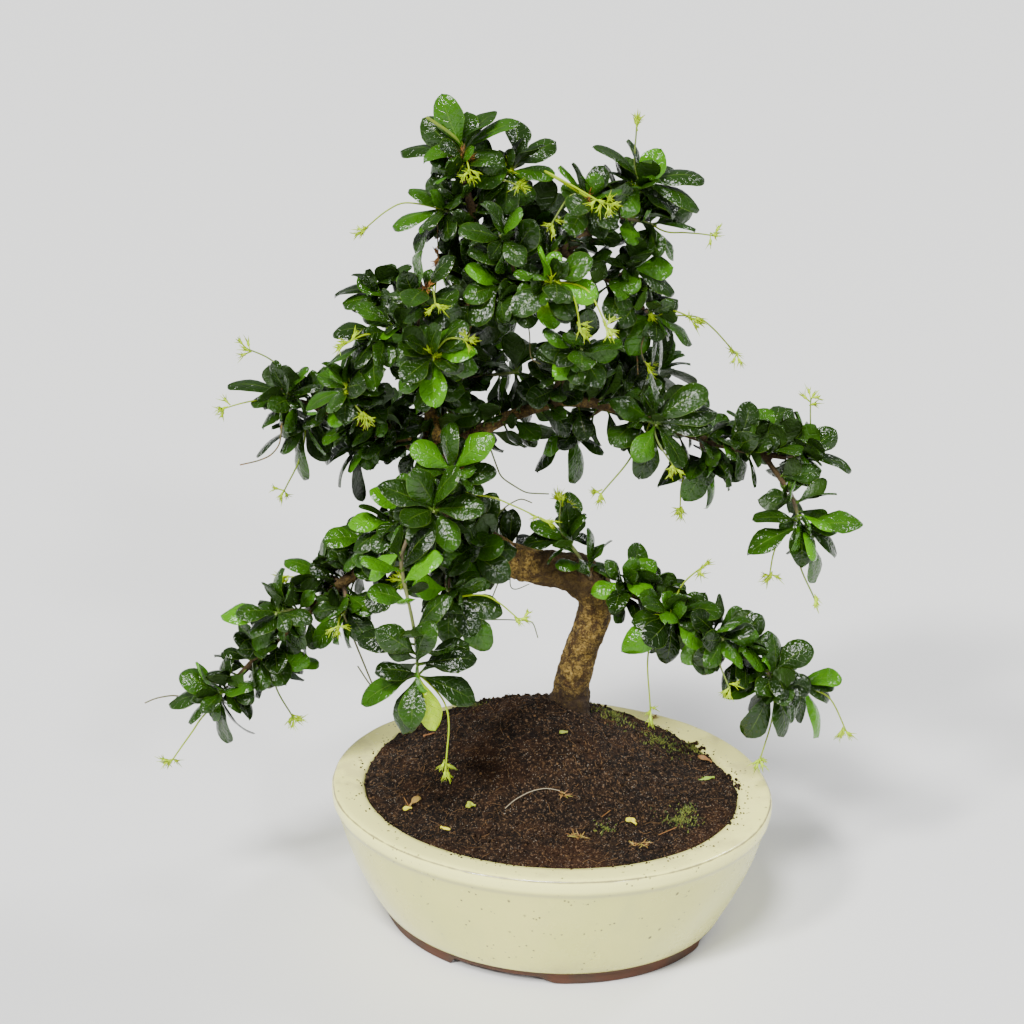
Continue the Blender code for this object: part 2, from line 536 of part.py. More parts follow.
def mound_height(x, y):
    """The height of the soil over a point, without its crumbs."""
    away = math.hypot((x - MOUND_AT.x) / MOUND_REACH.x, (y - MOUND_AT.y) / MOUND_REACH.y)
    return SOIL_EDGE_Z + MOUND_HEIGHT * math.cos(0.5 * math.pi * min(1.0, away)) ** 2


def soil_height(x, y):
    """The mound with its shallow hollows."""
    return mound_height(x, y) + noise.fractal(Vector((x, y, 0.0)) / HOLLOW_PITCH, 0.9, 2.0, 3) * HOLLOW_DEPTH


def soil_spots(edge):
    """Places over the soil in even rows, a little inside its edge."""
    reach = edge - 0.6 * SOIL_PITCH
    row_step = SOIL_PITCH * math.sin(math.radians(60.0))
    rows = math.ceil(reach / row_step)
    spots = []
    for row in range(-rows, rows + 1):
        for column in range(-rows, rows + 1):
            along, across = (column + 0.5 * (row % 2)) * SOIL_PITCH, row * row_step
            if math.hypot(along, across / POT_ROUND) < reach:
                spots.append(pot_point(along, across).xy)
    return spots


def lay_surface(bm, rim, spots):
    """Joins a ring of vertices with triangles over the spots inside it, at the soil's height."""
    middle = sum((vert.co.xy for vert in rim), Vector((0.0, 0.0))) / len(rim)
    rim = sorted(rim, key=lambda vert: math.atan2(vert.co.y - middle.y, vert.co.x - middle.x))
    verts = rim + [bm.verts.new((*spot, soil_height(*spot))) for spot in spots]
    links = [(place, (place + 1) % len(rim)) for place in range(len(rim))]
    _, _, triangles, sources, _, _ = delaunay_2d_cdt([vert.co.xy for vert in verts], links, [], 1, 1e-7)
    for triangle in triangles:
        bm.faces.new([verts[sources[corner][0]] for corner in triangle])
    bmesh.ops.recalc_face_normals(bm, faces=bm.faces)


def build_soil(collection, hole_at, hole_radius, hole_low):
    sides = inner_profile(GAP * 1.3)
    edge = sides[-1][0]
    profile = [(0.0, SOIL_EDGE_Z), (edge, SOIL_EDGE_Z), *reversed(sides[:-1]), (0.0, FLOOR_Z + GAP)]
    soil = turned("soil", profile, collection)
    bm = bmesh.new()
    bm.from_mesh(soil.data)
    rim = [vert for vert in bm.verts if vert.co.z > SOIL_EDGE_Z - GAP and vert.co.xy.length > edge / 2]
    flat = [vert for vert in bm.verts if vert.co.z > SOIL_EDGE_Z - GAP and vert.co.xy.length < edge / 2]
    bmesh.ops.delete(bm, geom=flat, context="VERTS")
    lay_surface(bm, rim, soil_spots(edge))
    bm.to_mesh(soil.data)
    bm.free()
    cutters = [cylinder("tree_hole", hole_radius, hole_low, 2 * POT_HEIGHT, hole_at, collection)]
    room = Vector((SCREEN_SIDE, SCREEN_SIDE, 2 * SCREEN_THICK)) + Vector((2 * GAP, 2 * GAP, 2 * GAP))
    for side in (-1, 1):
        cutters.append(box("screen_room", room, Vector((side * DRAIN_AT, 0.0, FLOOR_Z + GAP)), collection))
    boolean(soil, cutters, "DIFFERENCE", "EXACT")
    shade(soil, 60.0)
    soil.data.materials.append(material("dark_soil", (0.045, 0.028, 0.018), 0.95))
    return soil


def wood_paths():
    """Every branch's middle line and its radii, evenly stepped."""
    paths = {}
    for name, (_, points) in WOOD.items():
        knots = [Vector((*plan(x, y, z), radius * MM)) for x, y, z, radius in points]
        dense = smooth_path(knots, 8)
        kept = [dense[0]]
        step = TRUNK_STEP if name == "trunk" else BRANCH_STEP
        for knot in dense[1:]:
            if (knot.xyz - kept[-1].xyz).length >= step:
                kept.append(knot)
        kept[-1] = dense[-1]
        paths[name] = ([knot.xyz for knot in kept], [knot.w for knot in kept])
    return paths


def build_tree(paths, collection):
    lumps = random.Random(11)
    pieces = []
    for name, (path, radii) in paths.items():
        trunk = name == "trunk"
        rough = [radius * lumps.uniform(0.96, 1.05) if trunk and spot.z > POT_HEIGHT + 30 * MM else radius
                 for spot, radius in zip(path, radii)]
        pieces.append(tube(name, path, rough, collection, resolution=3 if trunk else 1))
    tree = pieces[0]
    boolean(tree, pieces[1:], "UNION", "MANIFOLD")
    shade(tree, 50.0)
    tree.data.materials.append(material("bark", (0.30, 0.20, 0.11), 0.85))
    return tree


def tube_tree(path, radii, sides=6):
    """The surface of a tube, for finding what it runs into."""
    verts, faces = [], []
    for index, (spot, radius) in enumerate(zip(path, radii)):
        ahead = path[min(index + 1, len(path) - 1)] - path[max(index - 1, 0)]
        turn = ahead.to_track_quat("Z", "X")
        for side in range(sides):
            angle = 2 * math.pi * side / sides
            verts.append(spot + turn @ Vector((math.cos(angle), math.sin(angle), 0.0)) * radius)
    for ring in range(len(path) - 1):
        for side in range(sides):
            a = ring * sides + side
            b = ring * sides + (side + 1) % sides
            faces += [(a, b, b + sides), (a, b + sides, a + sides)]
    return BVHTree.FromPolygons(verts, faces)


def blade_solid(leaf, grow=0.0, start=0.0):
    """Corners and triangles of a blade with a raised rib, from its base or from a share of it."""
    across = leaf.along.cross(leaf.up)

    def middle(share):
        lift = leaf.arch * share * (1 - share)
        return leaf.base + (leaf.along * share + leaf.up * lift) * leaf.length

    verts = [middle(start)]
    for share, wide in LEAF_STATIONS:
        half = leaf.width / 2 * wide + grow
        centre = middle(share)
        drop = leaf.up * (max(LEAF_THICK, half * leaf.curl) + grow)
        verts += [centre - across * half - drop, centre + leaf.up * grow, centre + across * half - drop]
    verts.append(middle(1.0) - leaf.up * LEAF_THICK / 2 + leaf.along * grow)
    faces = []
    for side in range(3):
        after = (side + 1) % 3
        faces += [(0, 1 + side, 1 + after), (1 + side, 4 + side, 4 + after),
                  (1 + side, 4 + after, 1 + after), (4 + side, 7, 4 + after)]
    return verts, faces


class Room:
    """What is already in place, so that the next leaf can be set clear of it."""

    def __init__(self):
        self.taken = []

    def add(self, owner, kind, tree, middle, reach):
        self.taken.append((owner, kind, tree, middle, reach))

    def clashes(self, owner, tree, middle, reach):
        """Whether the tree meets anything that belongs to another owner."""
        for other, kind, taken, centre, extent in self.taken:
            if other != owner and kind != "outer" and (centre - middle).length < reach + extent:
                if tree.overlap(taken):
                    return True
        return False

    def crowds(self, owner, tree, middle, reach):
        """Whether the outer part of a blade meets one on the same shoot."""
        for other, kind, taken, centre, extent in self.taken:
            if other == owner and kind == "outer" and (centre - middle).length < reach + extent:
                if tree.overlap(taken):
                    return True
        return False


def middle_and_reach(points):
    middle = sum(points, Vector()) / len(points)
    return middle, max((point - middle).length for point in points)


def over_pot(point):
    """Whether a point is too near the pot, the soil or the ground."""
    if point.z < KEEP_OFF:
        return True
    local = Matrix.Rotation(-POT_TURN, 3, "Z") @ point
    ring = math.hypot(local.x, local.y / POT_ROUND) / (POT_LENGTH / 2)
    if ring > 1.06:
        return False
    floor = mound_height(point.x, point.y) if ring < 0.86 else POT_HEIGHT
    return point.z < floor + KEEP_OFF


def nearest_on(path, point):
    """Where along a path it comes nearest to a point."""
    best, found, travelled = None, 0.0, 0.0
    for start, end in zip(path, path[1:]):
        run = end - start
        share = max(0.0, min(1.0, (point - start).dot(run) / run.length_squared))
        away = (start + run * share - point).length
        if best is None or away < best:
            best, found = away, travelled + run.length * share
        travelled += run.length
    return found, best


def along_path(path, radii, distance):
    """The point, the direction and the radius at a distance along a path."""
    for index in range(len(path) - 1):
        run = path[index + 1] - path[index]
        if distance <= run.length or index == len(path) - 2:
            share = min(1.0, distance / run.length)
            return (path[index] + run * share, run.normalized(),
                    radii[index] * (1 - share) + radii[index + 1] * share)
        distance -= run.length


def stem_path(shoot, wood, bow):
    """The stem's middle line, from its seat on the branch to its tip."""
    path, radii = wood[shoot.parent]
    tip = plan(*shoot.tip)
    if shoot.end:
        way = (path[-1] - path[-2]).normalized()
        seat = path[-1] + way * GAP
    else:
        toward = plan(*shoot.via[0]) if shoot.via else tip
        found, away = nearest_on(path, toward)
        spot, run, radius = along_path(path, radii, max(4 * MM, found - 0.45 * away))
        way = (toward - spot) - run * (toward - spot).dot(run)
        way.normalize()
        seat = spot + way * (radius + GAP)
    first = seat + way * 2.2 * MM
    if shoot.via:
        return [seat, *smooth_path([first, *[plan(*spot) for spot in shoot.via], tip], 2)]
    return [seat, first, (first + tip) / 2 + bow * (tip - first).length, tip]


def place_stems(wood, room):
    stems = {}
    for shoot in SHOOTS:
        chance = random.Random(shoot.name + " stem")
        for attempt in range(24):
            spread = 0.05 + 0.03 * attempt
            bow = Vector([chance.uniform(-spread, spread) for _ in range(3)]) + Vector((0, 0, 0.07))
            path = stem_path(shoot, wood, bow)
            free = tube_tree(path[1:], [STEM_RADIUS + STEM_CLEAR] * (len(path) - 1))
            middle, reach = middle_and_reach(path[1:])
            if not room.clashes(shoot.name, free, middle, reach):
                break
        whole = tube_tree(path, [STEM_RADIUS + STEM_CLEAR] * len(path))
        middle, reach = middle_and_reach(path)
        room.add(shoot.name, "stem", whole, middle, reach + STEM_RADIUS)
        stems[shoot.name] = path
    return stems


def leaf_between(base, tip, roll, chance):
    """A leaf from base to tip with its upper face to the sky and away from the tree's middle."""
    along = (tip - base).normalized()
    out = Vector((base.x - TREE_AXIS.x, base.y - TREE_AXIS.y, 0.0)) * 0.6 - Vector((0, OUTWARD, 0))
    if base.y > BACK_Y:
        out.y = abs(out.y) + OUTWARD
    face = Vector((0, 0, 0.8)) + out.normalized() * 0.6 + roll
    up = (face - along * face.dot(along)).normalized()
    length = (tip - base).length
    width = min(WIDEST, length * chance.uniform(0.56, 0.68))
    return Leaf(base, along, up, length, width, chance.uniform(0.25, 0.5), chance.uniform(0.1, 0.35))


def try_leaf(owner, leaf, room):
    """Adds the leaf to the room if it is clear of everything, and says whether it was."""
    verts, faces = blade_solid(leaf, CLEAR / 2)
    if any(over_pot(vert) for vert in verts):
        return False
    whole = BVHTree.FromPolygons(verts, faces)
    middle, reach = middle_and_reach(verts)
    if room.clashes(owner, whole, middle, reach):
        return False
    outer = BVHTree.FromPolygons(*blade_solid(leaf, CLEAR / 2, start=0.2))
    if room.crowds(owner, outer, middle, reach):
        return False
    room.add(owner, "leaf", whole, middle, reach)
    room.add(owner, "outer", outer, middle, reach)
    return True


def place_picked(shoot, path, room):
    """The leaves whose tips are given."""
    leaves = []
    radii = [STEM_RADIUS] * len(path)
    total = sum((b - a).length for a, b in zip(path, path[1:]))
    for index, (x, z, depth) in enumerate(shoot.tips):
        goal = plan(x, shoot.tip[1] + depth, z)
        for attempt in range(PICK_TRIES):
            chance = random.Random(f"{shoot.name} leaf {index} {attempt}")
            tip = goal + Vector([chance.gauss(0, 0.25 * attempt) for _ in range(3)]) * MM
            roll = Vector([chance.gauss(0, 0.14 + 0.03 * attempt) for _ in range(3)])
            wanted = chance.uniform(*WANTED_LENGTH)
            spots = [along_path(path, radii, (total - ROOT_DEPTH) * (0.3 + 0.7 * step / 14))[0]
                     for step in range(15)]
            base = min(spots, key=lambda spot: abs((spot - tip).length - wanted)
                       - 0.2 * (spot - path[0]).length)
            reach = (tip - base).length
            if reach < PICKED_LENGTH[0]:
                tip = base + (tip - base).normalized() * PICKED_LENGTH[0]
            if reach > PICKED_LENGTH[1]:
                tip = base + (tip - base).normalized() * PICKED_LENGTH[1]
            leaf = leaf_between(base, tip, roll, chance)
            if try_leaf(shoot.name, leaf, room):
                leaves.append(leaf)
                break
    return leaves


def place_ruled(shoot, path, room):
    """Further leaves set round the stem, a golden angle apart."""
    leaves = []
    radii = [STEM_RADIUS] * len(path)
    total = sum((b - a).length for a, b in zip(path, path[1:]))
    for index in range(shoot.more):
        for attempt in range(16):
            chance = random.Random(f"{shoot.name} more {index} {attempt}")
            share = 1.0 - 0.085 * index * chance.uniform(0.8, 1.2)
            base, axis, _ = along_path(path, radii, (total - ROOT_DEPTH) * max(0.3, share))
            lean = math.radians(38 + 6 * index + chance.uniform(-14, 22))
            spin = index * GOLDEN_ANGLE + chance.uniform(-0.3, 0.3) * (1 + attempt)
            side = axis.orthogonal().normalized()
            side.rotate(Matrix.Rotation(spin, 3, axis))
            along = axis * math.cos(lean) + side * math.sin(lean)
            tip = base + along.normalized() * chance.uniform(*LEAF_LENGTH) * (1 - 0.012 * attempt)
            leaf = leaf_between(base, tip, axis * 0.5, chance)
            if try_leaf(shoot.name, leaf, room):
                leaves.append(leaf)
                break
    return leaves


def place_buds(shoot, path, room):
    """The flower stalks: each one a path that ends at its bud."""
    stalks = []
    radii = [STEM_RADIUS] * len(path)
    total = sum((b - a).length for a, b in zip(path, path[1:]))
    for index, (x, z, depth) in enumerate(shoot.buds):
        goal = plan(x, shoot.tip[1] + depth, z)
        for attempt in range(PICK_TRIES):
            chance = random.Random(f"{shoot.name} bud {index} {attempt}")
            tip = goal + Vector([chance.gauss(0, 0.3 * attempt) for _ in range(3)]) * MM
            found, _ = nearest_on(path, tip)
            base, _, _ = along_path(path, radii, max(0.55 * total, min(total, found) - 1.5 * ROOT_DEPTH))
            span = tip - base
            rise = 0.14 + 0.02 * attempt * chance.uniform(-1, 1)
            middle = base + span * 0.5 + Vector((0, 0, rise)) * span.length
            line = smooth_path([base, middle, tip], 1 if span.length < 14 * MM else 2)
            if len(line) == 5:
                line.pop(1)
            beyond = tip + (line[-1] - line[-2]).normalized() * BUD_LENGTH
            outer = line[1:] + [beyond]
            radii_round = [STALK_RADIUS + STALK_CLEAR] * (len(line) - 1) + [BUD_RADIUS + STALK_CLEAR]
            free = tube_tree(outer, radii_round)
            middle, reach = middle_and_reach(outer)
            if over_pot(beyond) or over_pot(tip):
                continue
            if not room.clashes(shoot.name, free, middle, reach + BUD_RADIUS):
                room.add(shoot.name, "bud", free, middle, reach + BUD_RADIUS)
                stalks.append((line, beyond))
                break
    return stalks


def build_bud(name, line, beyond, collection):
    """A stalk and the open star of green sepals at its end, as a widening cone."""
    stalk = tube(name, line, [STALK_RADIUS] * len(line), collection)
    way = beyond - line[-1]
    bm = bmesh.new()
    bmesh.ops.create_cone(bm, cap_ends=True, segments=5, radius1=STALK_RADIUS, radius2=BUD_RADIUS,
                          depth=way.length + 1 * MM)
    turn = way.to_track_quat("Z", "X").to_matrix().to_4x4()
    middle = (line[-1] + beyond) / 2 - way.normalized() * 0.5 * MM
    bmesh.ops.transform(bm, matrix=Matrix.Translation(middle) @ turn, verts=bm.verts)
    return [stalk, place(name + "_star", mesh_from(bm, name), collection)]


def build_blade(name, leaf, collection):
    verts, faces = blade_solid(leaf)
    bm = bmesh.new()
    corners = [bm.verts.new(vert) for vert in verts]
    for face in faces:
        bm.faces.new([corners[index] for index in face])
    bmesh.ops.recalc_face_normals(bm, faces=bm.faces)
    return place(name, mesh_from(bm, name), collection)


def build_shoot(shoot, path, leaves, stalks, green, collection):
    radii = [STEM_RADIUS * (1.1 - 0.35 * index / (len(path) - 1)) for index in range(len(path))]
    stem = tube("shoot_" + shoot.name, path, radii, collection)
    grown = [build_blade("blade", leaf, collection) for leaf in leaves]
    for line, beyond in stalks:
        grown += build_bud("stalk", line, beyond, collection)
    boolean(stem, grown, "UNION", "MANIFOLD")
    stem.data.materials.append(green)
    return stem


def build_foliage(wood, collection):
    room = Room()
    for name, (path, radii) in wood.items():
        grown = [radius + STEM_CLEAR for radius in radii]
        for start in range(0, len(path) - 1, 3):
            part = path[start:start + 4]
            if len(part) > 1:
                middle, reach = middle_and_reach(part)
                room.add(name, "wood", tube_tree(part, grown[start:start + 4]), middle, reach + max(radii))
    stems = place_stems(wood, room)
    leaves = {shoot.name: place_picked(shoot, stems[shoot.name], room) for shoot in SHOOTS}
    stalks = {shoot.name: place_buds(shoot, stems[shoot.name], room) for shoot in SHOOTS}
    for shoot in SHOOTS:
        leaves[shoot.name] += place_ruled(shoot, stems[shoot.name], room)
    green = material("leaf_green", (0.05, 0.16, 0.03), 0.35)
    return [build_shoot(shoot, stems[shoot.name], leaves[shoot.name], stalks[shoot.name], green, collection)
            for shoot in SHOOTS]


def main():
    clear_scene()
    bonsai = new_collection("fukien_tea_bonsai")
    wood = wood_paths()
    foot = wood["trunk"][0][0]
    pieces = [build_pot(bonsai), build_screen("drain_screen_left", -1, bonsai),
              build_screen("drain_screen_right", 1, bonsai),
              build_soil(bonsai, foot, wood["trunk"][1][0] + 2 * GAP, foot.z - GAP), build_tree(wood, bonsai)]
    pieces += build_foliage(wood, bonsai)
    stand = bpy.data.objects.new("stand", None)
    bonsai.objects.link(stand)
    stand.location = POT_AT
    for piece in pieces:
        piece.parent = stand
    bpy.context.view_layer.update()


main()
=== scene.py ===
"""Fukien tea bonsai in a glazed oval pot: the visible pieces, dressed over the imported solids.

Metres, +Z up. Pieces are built round the pot's middle and then stand at POT_AT.
"""

import json
import math
import random
from dataclasses import dataclass

import bmesh
import bpy
import numpy as np
from mathutils import Matrix, Vector, noise
from mathutils.bvhtree import BVHTree
from mathutils.kdtree import KDTree

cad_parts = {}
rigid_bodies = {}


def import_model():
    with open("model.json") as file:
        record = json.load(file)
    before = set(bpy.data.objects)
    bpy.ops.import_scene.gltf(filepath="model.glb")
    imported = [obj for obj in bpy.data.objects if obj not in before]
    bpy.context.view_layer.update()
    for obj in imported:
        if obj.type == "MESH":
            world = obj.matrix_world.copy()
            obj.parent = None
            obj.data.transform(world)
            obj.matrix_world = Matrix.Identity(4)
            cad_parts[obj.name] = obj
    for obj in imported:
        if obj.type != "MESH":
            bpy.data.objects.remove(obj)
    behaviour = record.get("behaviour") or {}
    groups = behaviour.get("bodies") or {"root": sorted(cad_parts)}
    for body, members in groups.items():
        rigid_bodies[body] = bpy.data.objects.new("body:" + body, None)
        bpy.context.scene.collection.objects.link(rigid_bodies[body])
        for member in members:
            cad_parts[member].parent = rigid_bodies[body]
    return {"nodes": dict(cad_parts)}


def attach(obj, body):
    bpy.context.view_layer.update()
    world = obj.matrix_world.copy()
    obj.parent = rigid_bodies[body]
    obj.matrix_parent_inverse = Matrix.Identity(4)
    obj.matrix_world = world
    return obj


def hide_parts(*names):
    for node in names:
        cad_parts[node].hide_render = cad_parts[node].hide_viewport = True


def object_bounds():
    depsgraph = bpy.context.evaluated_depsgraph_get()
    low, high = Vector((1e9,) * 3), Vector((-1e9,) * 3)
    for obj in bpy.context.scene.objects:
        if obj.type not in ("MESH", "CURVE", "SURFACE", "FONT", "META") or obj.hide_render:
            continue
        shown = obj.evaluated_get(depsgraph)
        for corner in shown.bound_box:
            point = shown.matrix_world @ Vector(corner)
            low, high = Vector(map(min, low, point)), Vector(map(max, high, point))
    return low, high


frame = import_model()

bl_info = {
    "name": "Fukien Tea Bonsai",
    "version": (1, 0, 0),
    "blender": (4, 5, 0),
    "location": "View3D > Sidebar > Bonsai",
    "description": "Builds a potted fukien tea bonsai, with its pot, soil, bark, leaves and flower buds",
    "category": "Object",
}

CAD_BOX = [list(corner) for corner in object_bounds()]

MM = 0.001
GAP = 0.3 * MM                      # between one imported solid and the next

# Where the pot's middle stands, from the origin
POT_AT = Vector((17.5, -7.5, 0.0)) * MM

# Pot
POT_LENGTH = 200.0 * MM
POT_ROUND = 0.88                    # width as a share of length
POT_TURN = math.radians(-20.0)
POT_HEIGHT = 62.0 * MM
FLOOR_Z = 10.0 * MM
GLAZE_FOOT_Z = 6.0 * MM
SOIL_WALL = ((65.6, 11.7), (74.6, 15.4), (81.6, 46.0), (84.1, 59.0))     # radius and height, in mm

# Soil: a mound, highest near the trunk
SOIL_EDGE_Z = 58.0 * MM
MOUND_HEIGHT = 28.0 * MM
MOUND_AT = Vector((-8.0, 28.0)) * MM
MOUND_REACH = Vector((88.0, 78.0)) * MM
HOLLOW_DEPTH = 2.6 * MM
HOLLOW_PITCH = 22.0 * MM            # between one shallow hollow in the soil and the next

# The plan of the tree is drawn on the upright plane through the trunk, as seen from EYE, in mm
EYE = Vector((-17.0, -800.0, 472.0))
PLANE_Y = 30.0
TREE_AXIS = Vector((-18.0, 36.0)) * MM

# Shoots, leaves and buds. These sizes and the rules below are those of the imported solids
STEM_RADIUS = 0.85 * MM
STEM_TRIES = 24
STEM_RISE = 2.2                     # in mm: a stem leaves its branch straight for this far
SEAT_FROM = 4.0 * MM                # and starts at least this far along the branch
SEAT_BACK = 0.45                    # and behind its tip by this share of the way between the two
STALK_RADIUS = 0.45 * MM
BUD_LENGTH = 4.5 * MM
BUD_RADIUS = 2.2 * MM
LEAF_THICK = 0.9 * MM
LEAF_STATIONS = ((0.56, 0.97), (0.87, 0.76))        # share of length, share of half width
LEAF_LENGTH = (17.0 * MM, 24.0 * MM)                # of a leaf set by rule
WANTED_LENGTH = (19.0 * MM, 24.0 * MM)              # of a leaf whose tip is given, where the stem allows it
PICKED_LENGTH = (13.0 * MM, 27.0 * MM)              # and its shortest and longest
PICK_TRIES = 40
RULED_TRIES = 16
WIDEST = 14.0 * MM
OUTWARD = 14.0 * MM                 # how strongly leaves face the front
BACK_Y = 55.0 * MM                  # the depth from which they face the back
CLEAR = 0.75 * MM                   # from a leaf to the next piece
STEM_CLEAR = 0.5 * MM
STALK_CLEAR = 0.4 * MM
KEEP_OFF = 3.0 * MM                 # from a leaf to the pot, the soil or the ground
POT_OUTSIDE = 1.06                  # beyond this share of the pot's radius there is no pot below
SOIL_INSIDE = 0.86                  # within this share there is soil
ROOT_DEPTH = 1.3 * MM               # from the stem's tip to the highest leaf's base
GOLDEN_ANGLE = math.radians(137.5)


def plan(x, y, z):
    """The point that stands at depth y behind the plan's point x, z. Millimetres in, metres out."""
    reach = (y - EYE.y) / (PLANE_Y - EYE.y)
    return Vector((EYE.x + (x - EYE.x) * reach, y, EYE.z + (z - EYE.z) * reach)) * MM


# Wood: each branch is its parent's name, then points x, depth, z and the radius there.
# A branch starts on its parent's middle line.
WOOD = {
    "trunk": (None, [
        (10, 34, 58, 7.8), (10, 34, 74, 7.8), (10, 34, 88, 7.8), (10.8, 34, 97, 8.2), (12.2, 34, 106, 8.0),
        (16, 34, 118, 7.6), (19.8, 33.5, 131, 8.0), (20, 33, 142, 8.8), (13, 33, 150.5, 9.2),
        (1, 33.5, 152.5, 8.5), (-13, 34.5, 155.5, 7.8), (-26, 36, 161, 8.2), (-38, 38, 171, 7.8),
        (-46, 40, 186, 6.8), (-50, 42, 206, 6.0), (-50, 43, 228, 5.2), (-45, 43, 250, 4.4),
        (-36, 41, 270, 3.7), (-30, 39, 290, 2.9), (-33, 37, 310, 2.3), (-37, 35, 326, 1.7)]),
    "low_right": ("trunk", [
        (20, 33, 142, 3.4), (36, 25, 142, 2.8), (52, 15, 132, 2.3), (72, 6, 121, 1.9),
        (90, 0, 110, 1.5), (98, -2, 105, 1.3)]),
    "low_left": ("trunk", [
        (-38, 38, 171, 4.2), (-56, 30, 169, 3.4), (-78, 20, 158, 2.9), (-102, 12, 138, 2.5),
        (-126, 5, 117, 2.1), (-141, 1, 101, 1.6), (-147, 0, 95, 1.3)]),
    "front": ("trunk", [
        (-26, 36, 161, 3.4), (-36, 22, 171, 2.8), (-45, 4, 179, 2.4), (-49, -12, 181, 1.6)]),
    "lower_front": ("trunk", [
        (-38, 38, 171, 3.0), (-46, 18, 161, 2.2), (-48, 2, 150, 1.7), (-46, -6, 144, 1.4)]),
    "mid_left": ("trunk", [
        (-50, 42, 206, 3.4), (-66, 40, 214, 2.8), (-88, 37, 223, 2.2), (-104, 34, 229, 1.6),
        (-110, 33, 231, 1.4)]),
    "mid_left_front": ("mid_left", [
        (-66, 40, 214, 2.3), (-74, 24, 222, 1.8), (-80, 10, 230, 1.5), (-82, 5, 233, 1.3)]),
    "mid_right": ("trunk", [
        (-50, 42, 206, 3.6), (-26, 40, 220, 3.0), (0, 35, 230, 2.7), (24, 28, 229, 2.4),
        (46, 20, 221, 2.1), (72, 15, 212, 1.8), (94, 14, 206, 1.5), (104, 14, 205, 1.3)]),
    "right_down": ("mid_right", [
        (94, 14, 206, 1.5), (102, 8, 197, 1.4), (106, 3, 189, 1.2)]),
    "crown_right": ("trunk", [
        (-36, 41, 270, 3.2), (-18, 40, 284, 2.6), (4, 38, 297, 2.2), (24, 36, 310, 1.8), (33, 35, 319, 1.4)]),
    "crown_right_low": ("crown_right", [
        (4, 38, 297, 2.0), (20, 36, 288, 1.7), (34, 32, 277, 1.4), (40, 30, 272, 1.2)]),
    "front_crown": ("trunk", [
        (-36, 41, 270, 2.8), (-26, 24, 276, 2.2), (-14, 5, 280, 1.7), (-6, -8, 282, 1.3)]),
    "left_shoulder": ("trunk", [
        (-45, 43, 250, 3.0), (-56, 40, 262, 2.3), (-66, 36, 272, 1.7), (-71, 34, 276, 1.3)]),
    "left_shoulder_low": ("trunk", [
        (-45, 43, 250, 2.8), (-54, 28, 257, 2.1), (-62, 12, 262, 1.6), (-66, 4, 264, 1.3)]),
    "front_mid": ("trunk", [
        (-50, 43, 228, 3.0), (-52, 24, 238, 2.3), (-52, 2, 246, 1.7), (-51, -10, 249, 1.3)]),
    "centre_front": ("mid_right", [
        (0, 35, 230, 2.2), (4, 18, 240, 1.8), (8, 2, 248, 1.5), (10, -4, 250, 1.3)]),
    "back_mid": ("trunk", [
        (-50, 43, 228, 3.0), (-42, 60, 240, 2.3), (-32, 76, 250, 1.6), (-29, 82, 253, 1.3)]),
    "back_crown": ("trunk", [
        (-30, 39, 290, 2.4), (-22, 54, 300, 1.8), (-12, 68, 307, 1.4)]),
    "back_right": ("mid_right", [
        (24, 28, 229, 2.2), (34, 46, 236, 1.8), (42, 64, 242, 1.4)]),
    "back_low": ("trunk", [
        (-13, 34.5, 155.5, 3.0), (-24, 54, 163, 2.2), (-40, 70, 168, 1.6), (-48, 76, 170, 1.3)]),
    "back_left": ("trunk", [
        (-50, 42, 206, 2.8), (-64, 58, 211, 2.1), (-79, 72, 217, 1.5), (-84, 76, 219, 1.3)]),
}
TRUNK_STEP = 10.0 * MM              # between rings along the trunk
BRANCH_STEP = 18.0 * MM


@dataclass
class Shoot:
    """A green stem on a branch, with its leaves and buds.

    tip is x, depth and z on the plan. tips and buds are x and z on the plan, with the depth from
    the shoot's own tip. more is how many further leaves are set round the stem by rule.
    """
    name: str
    parent: str
    tip: tuple
    tips: tuple = ()
    buds: tuple = ()
    more: int = 1
    end: bool = False
    via: tuple = ()


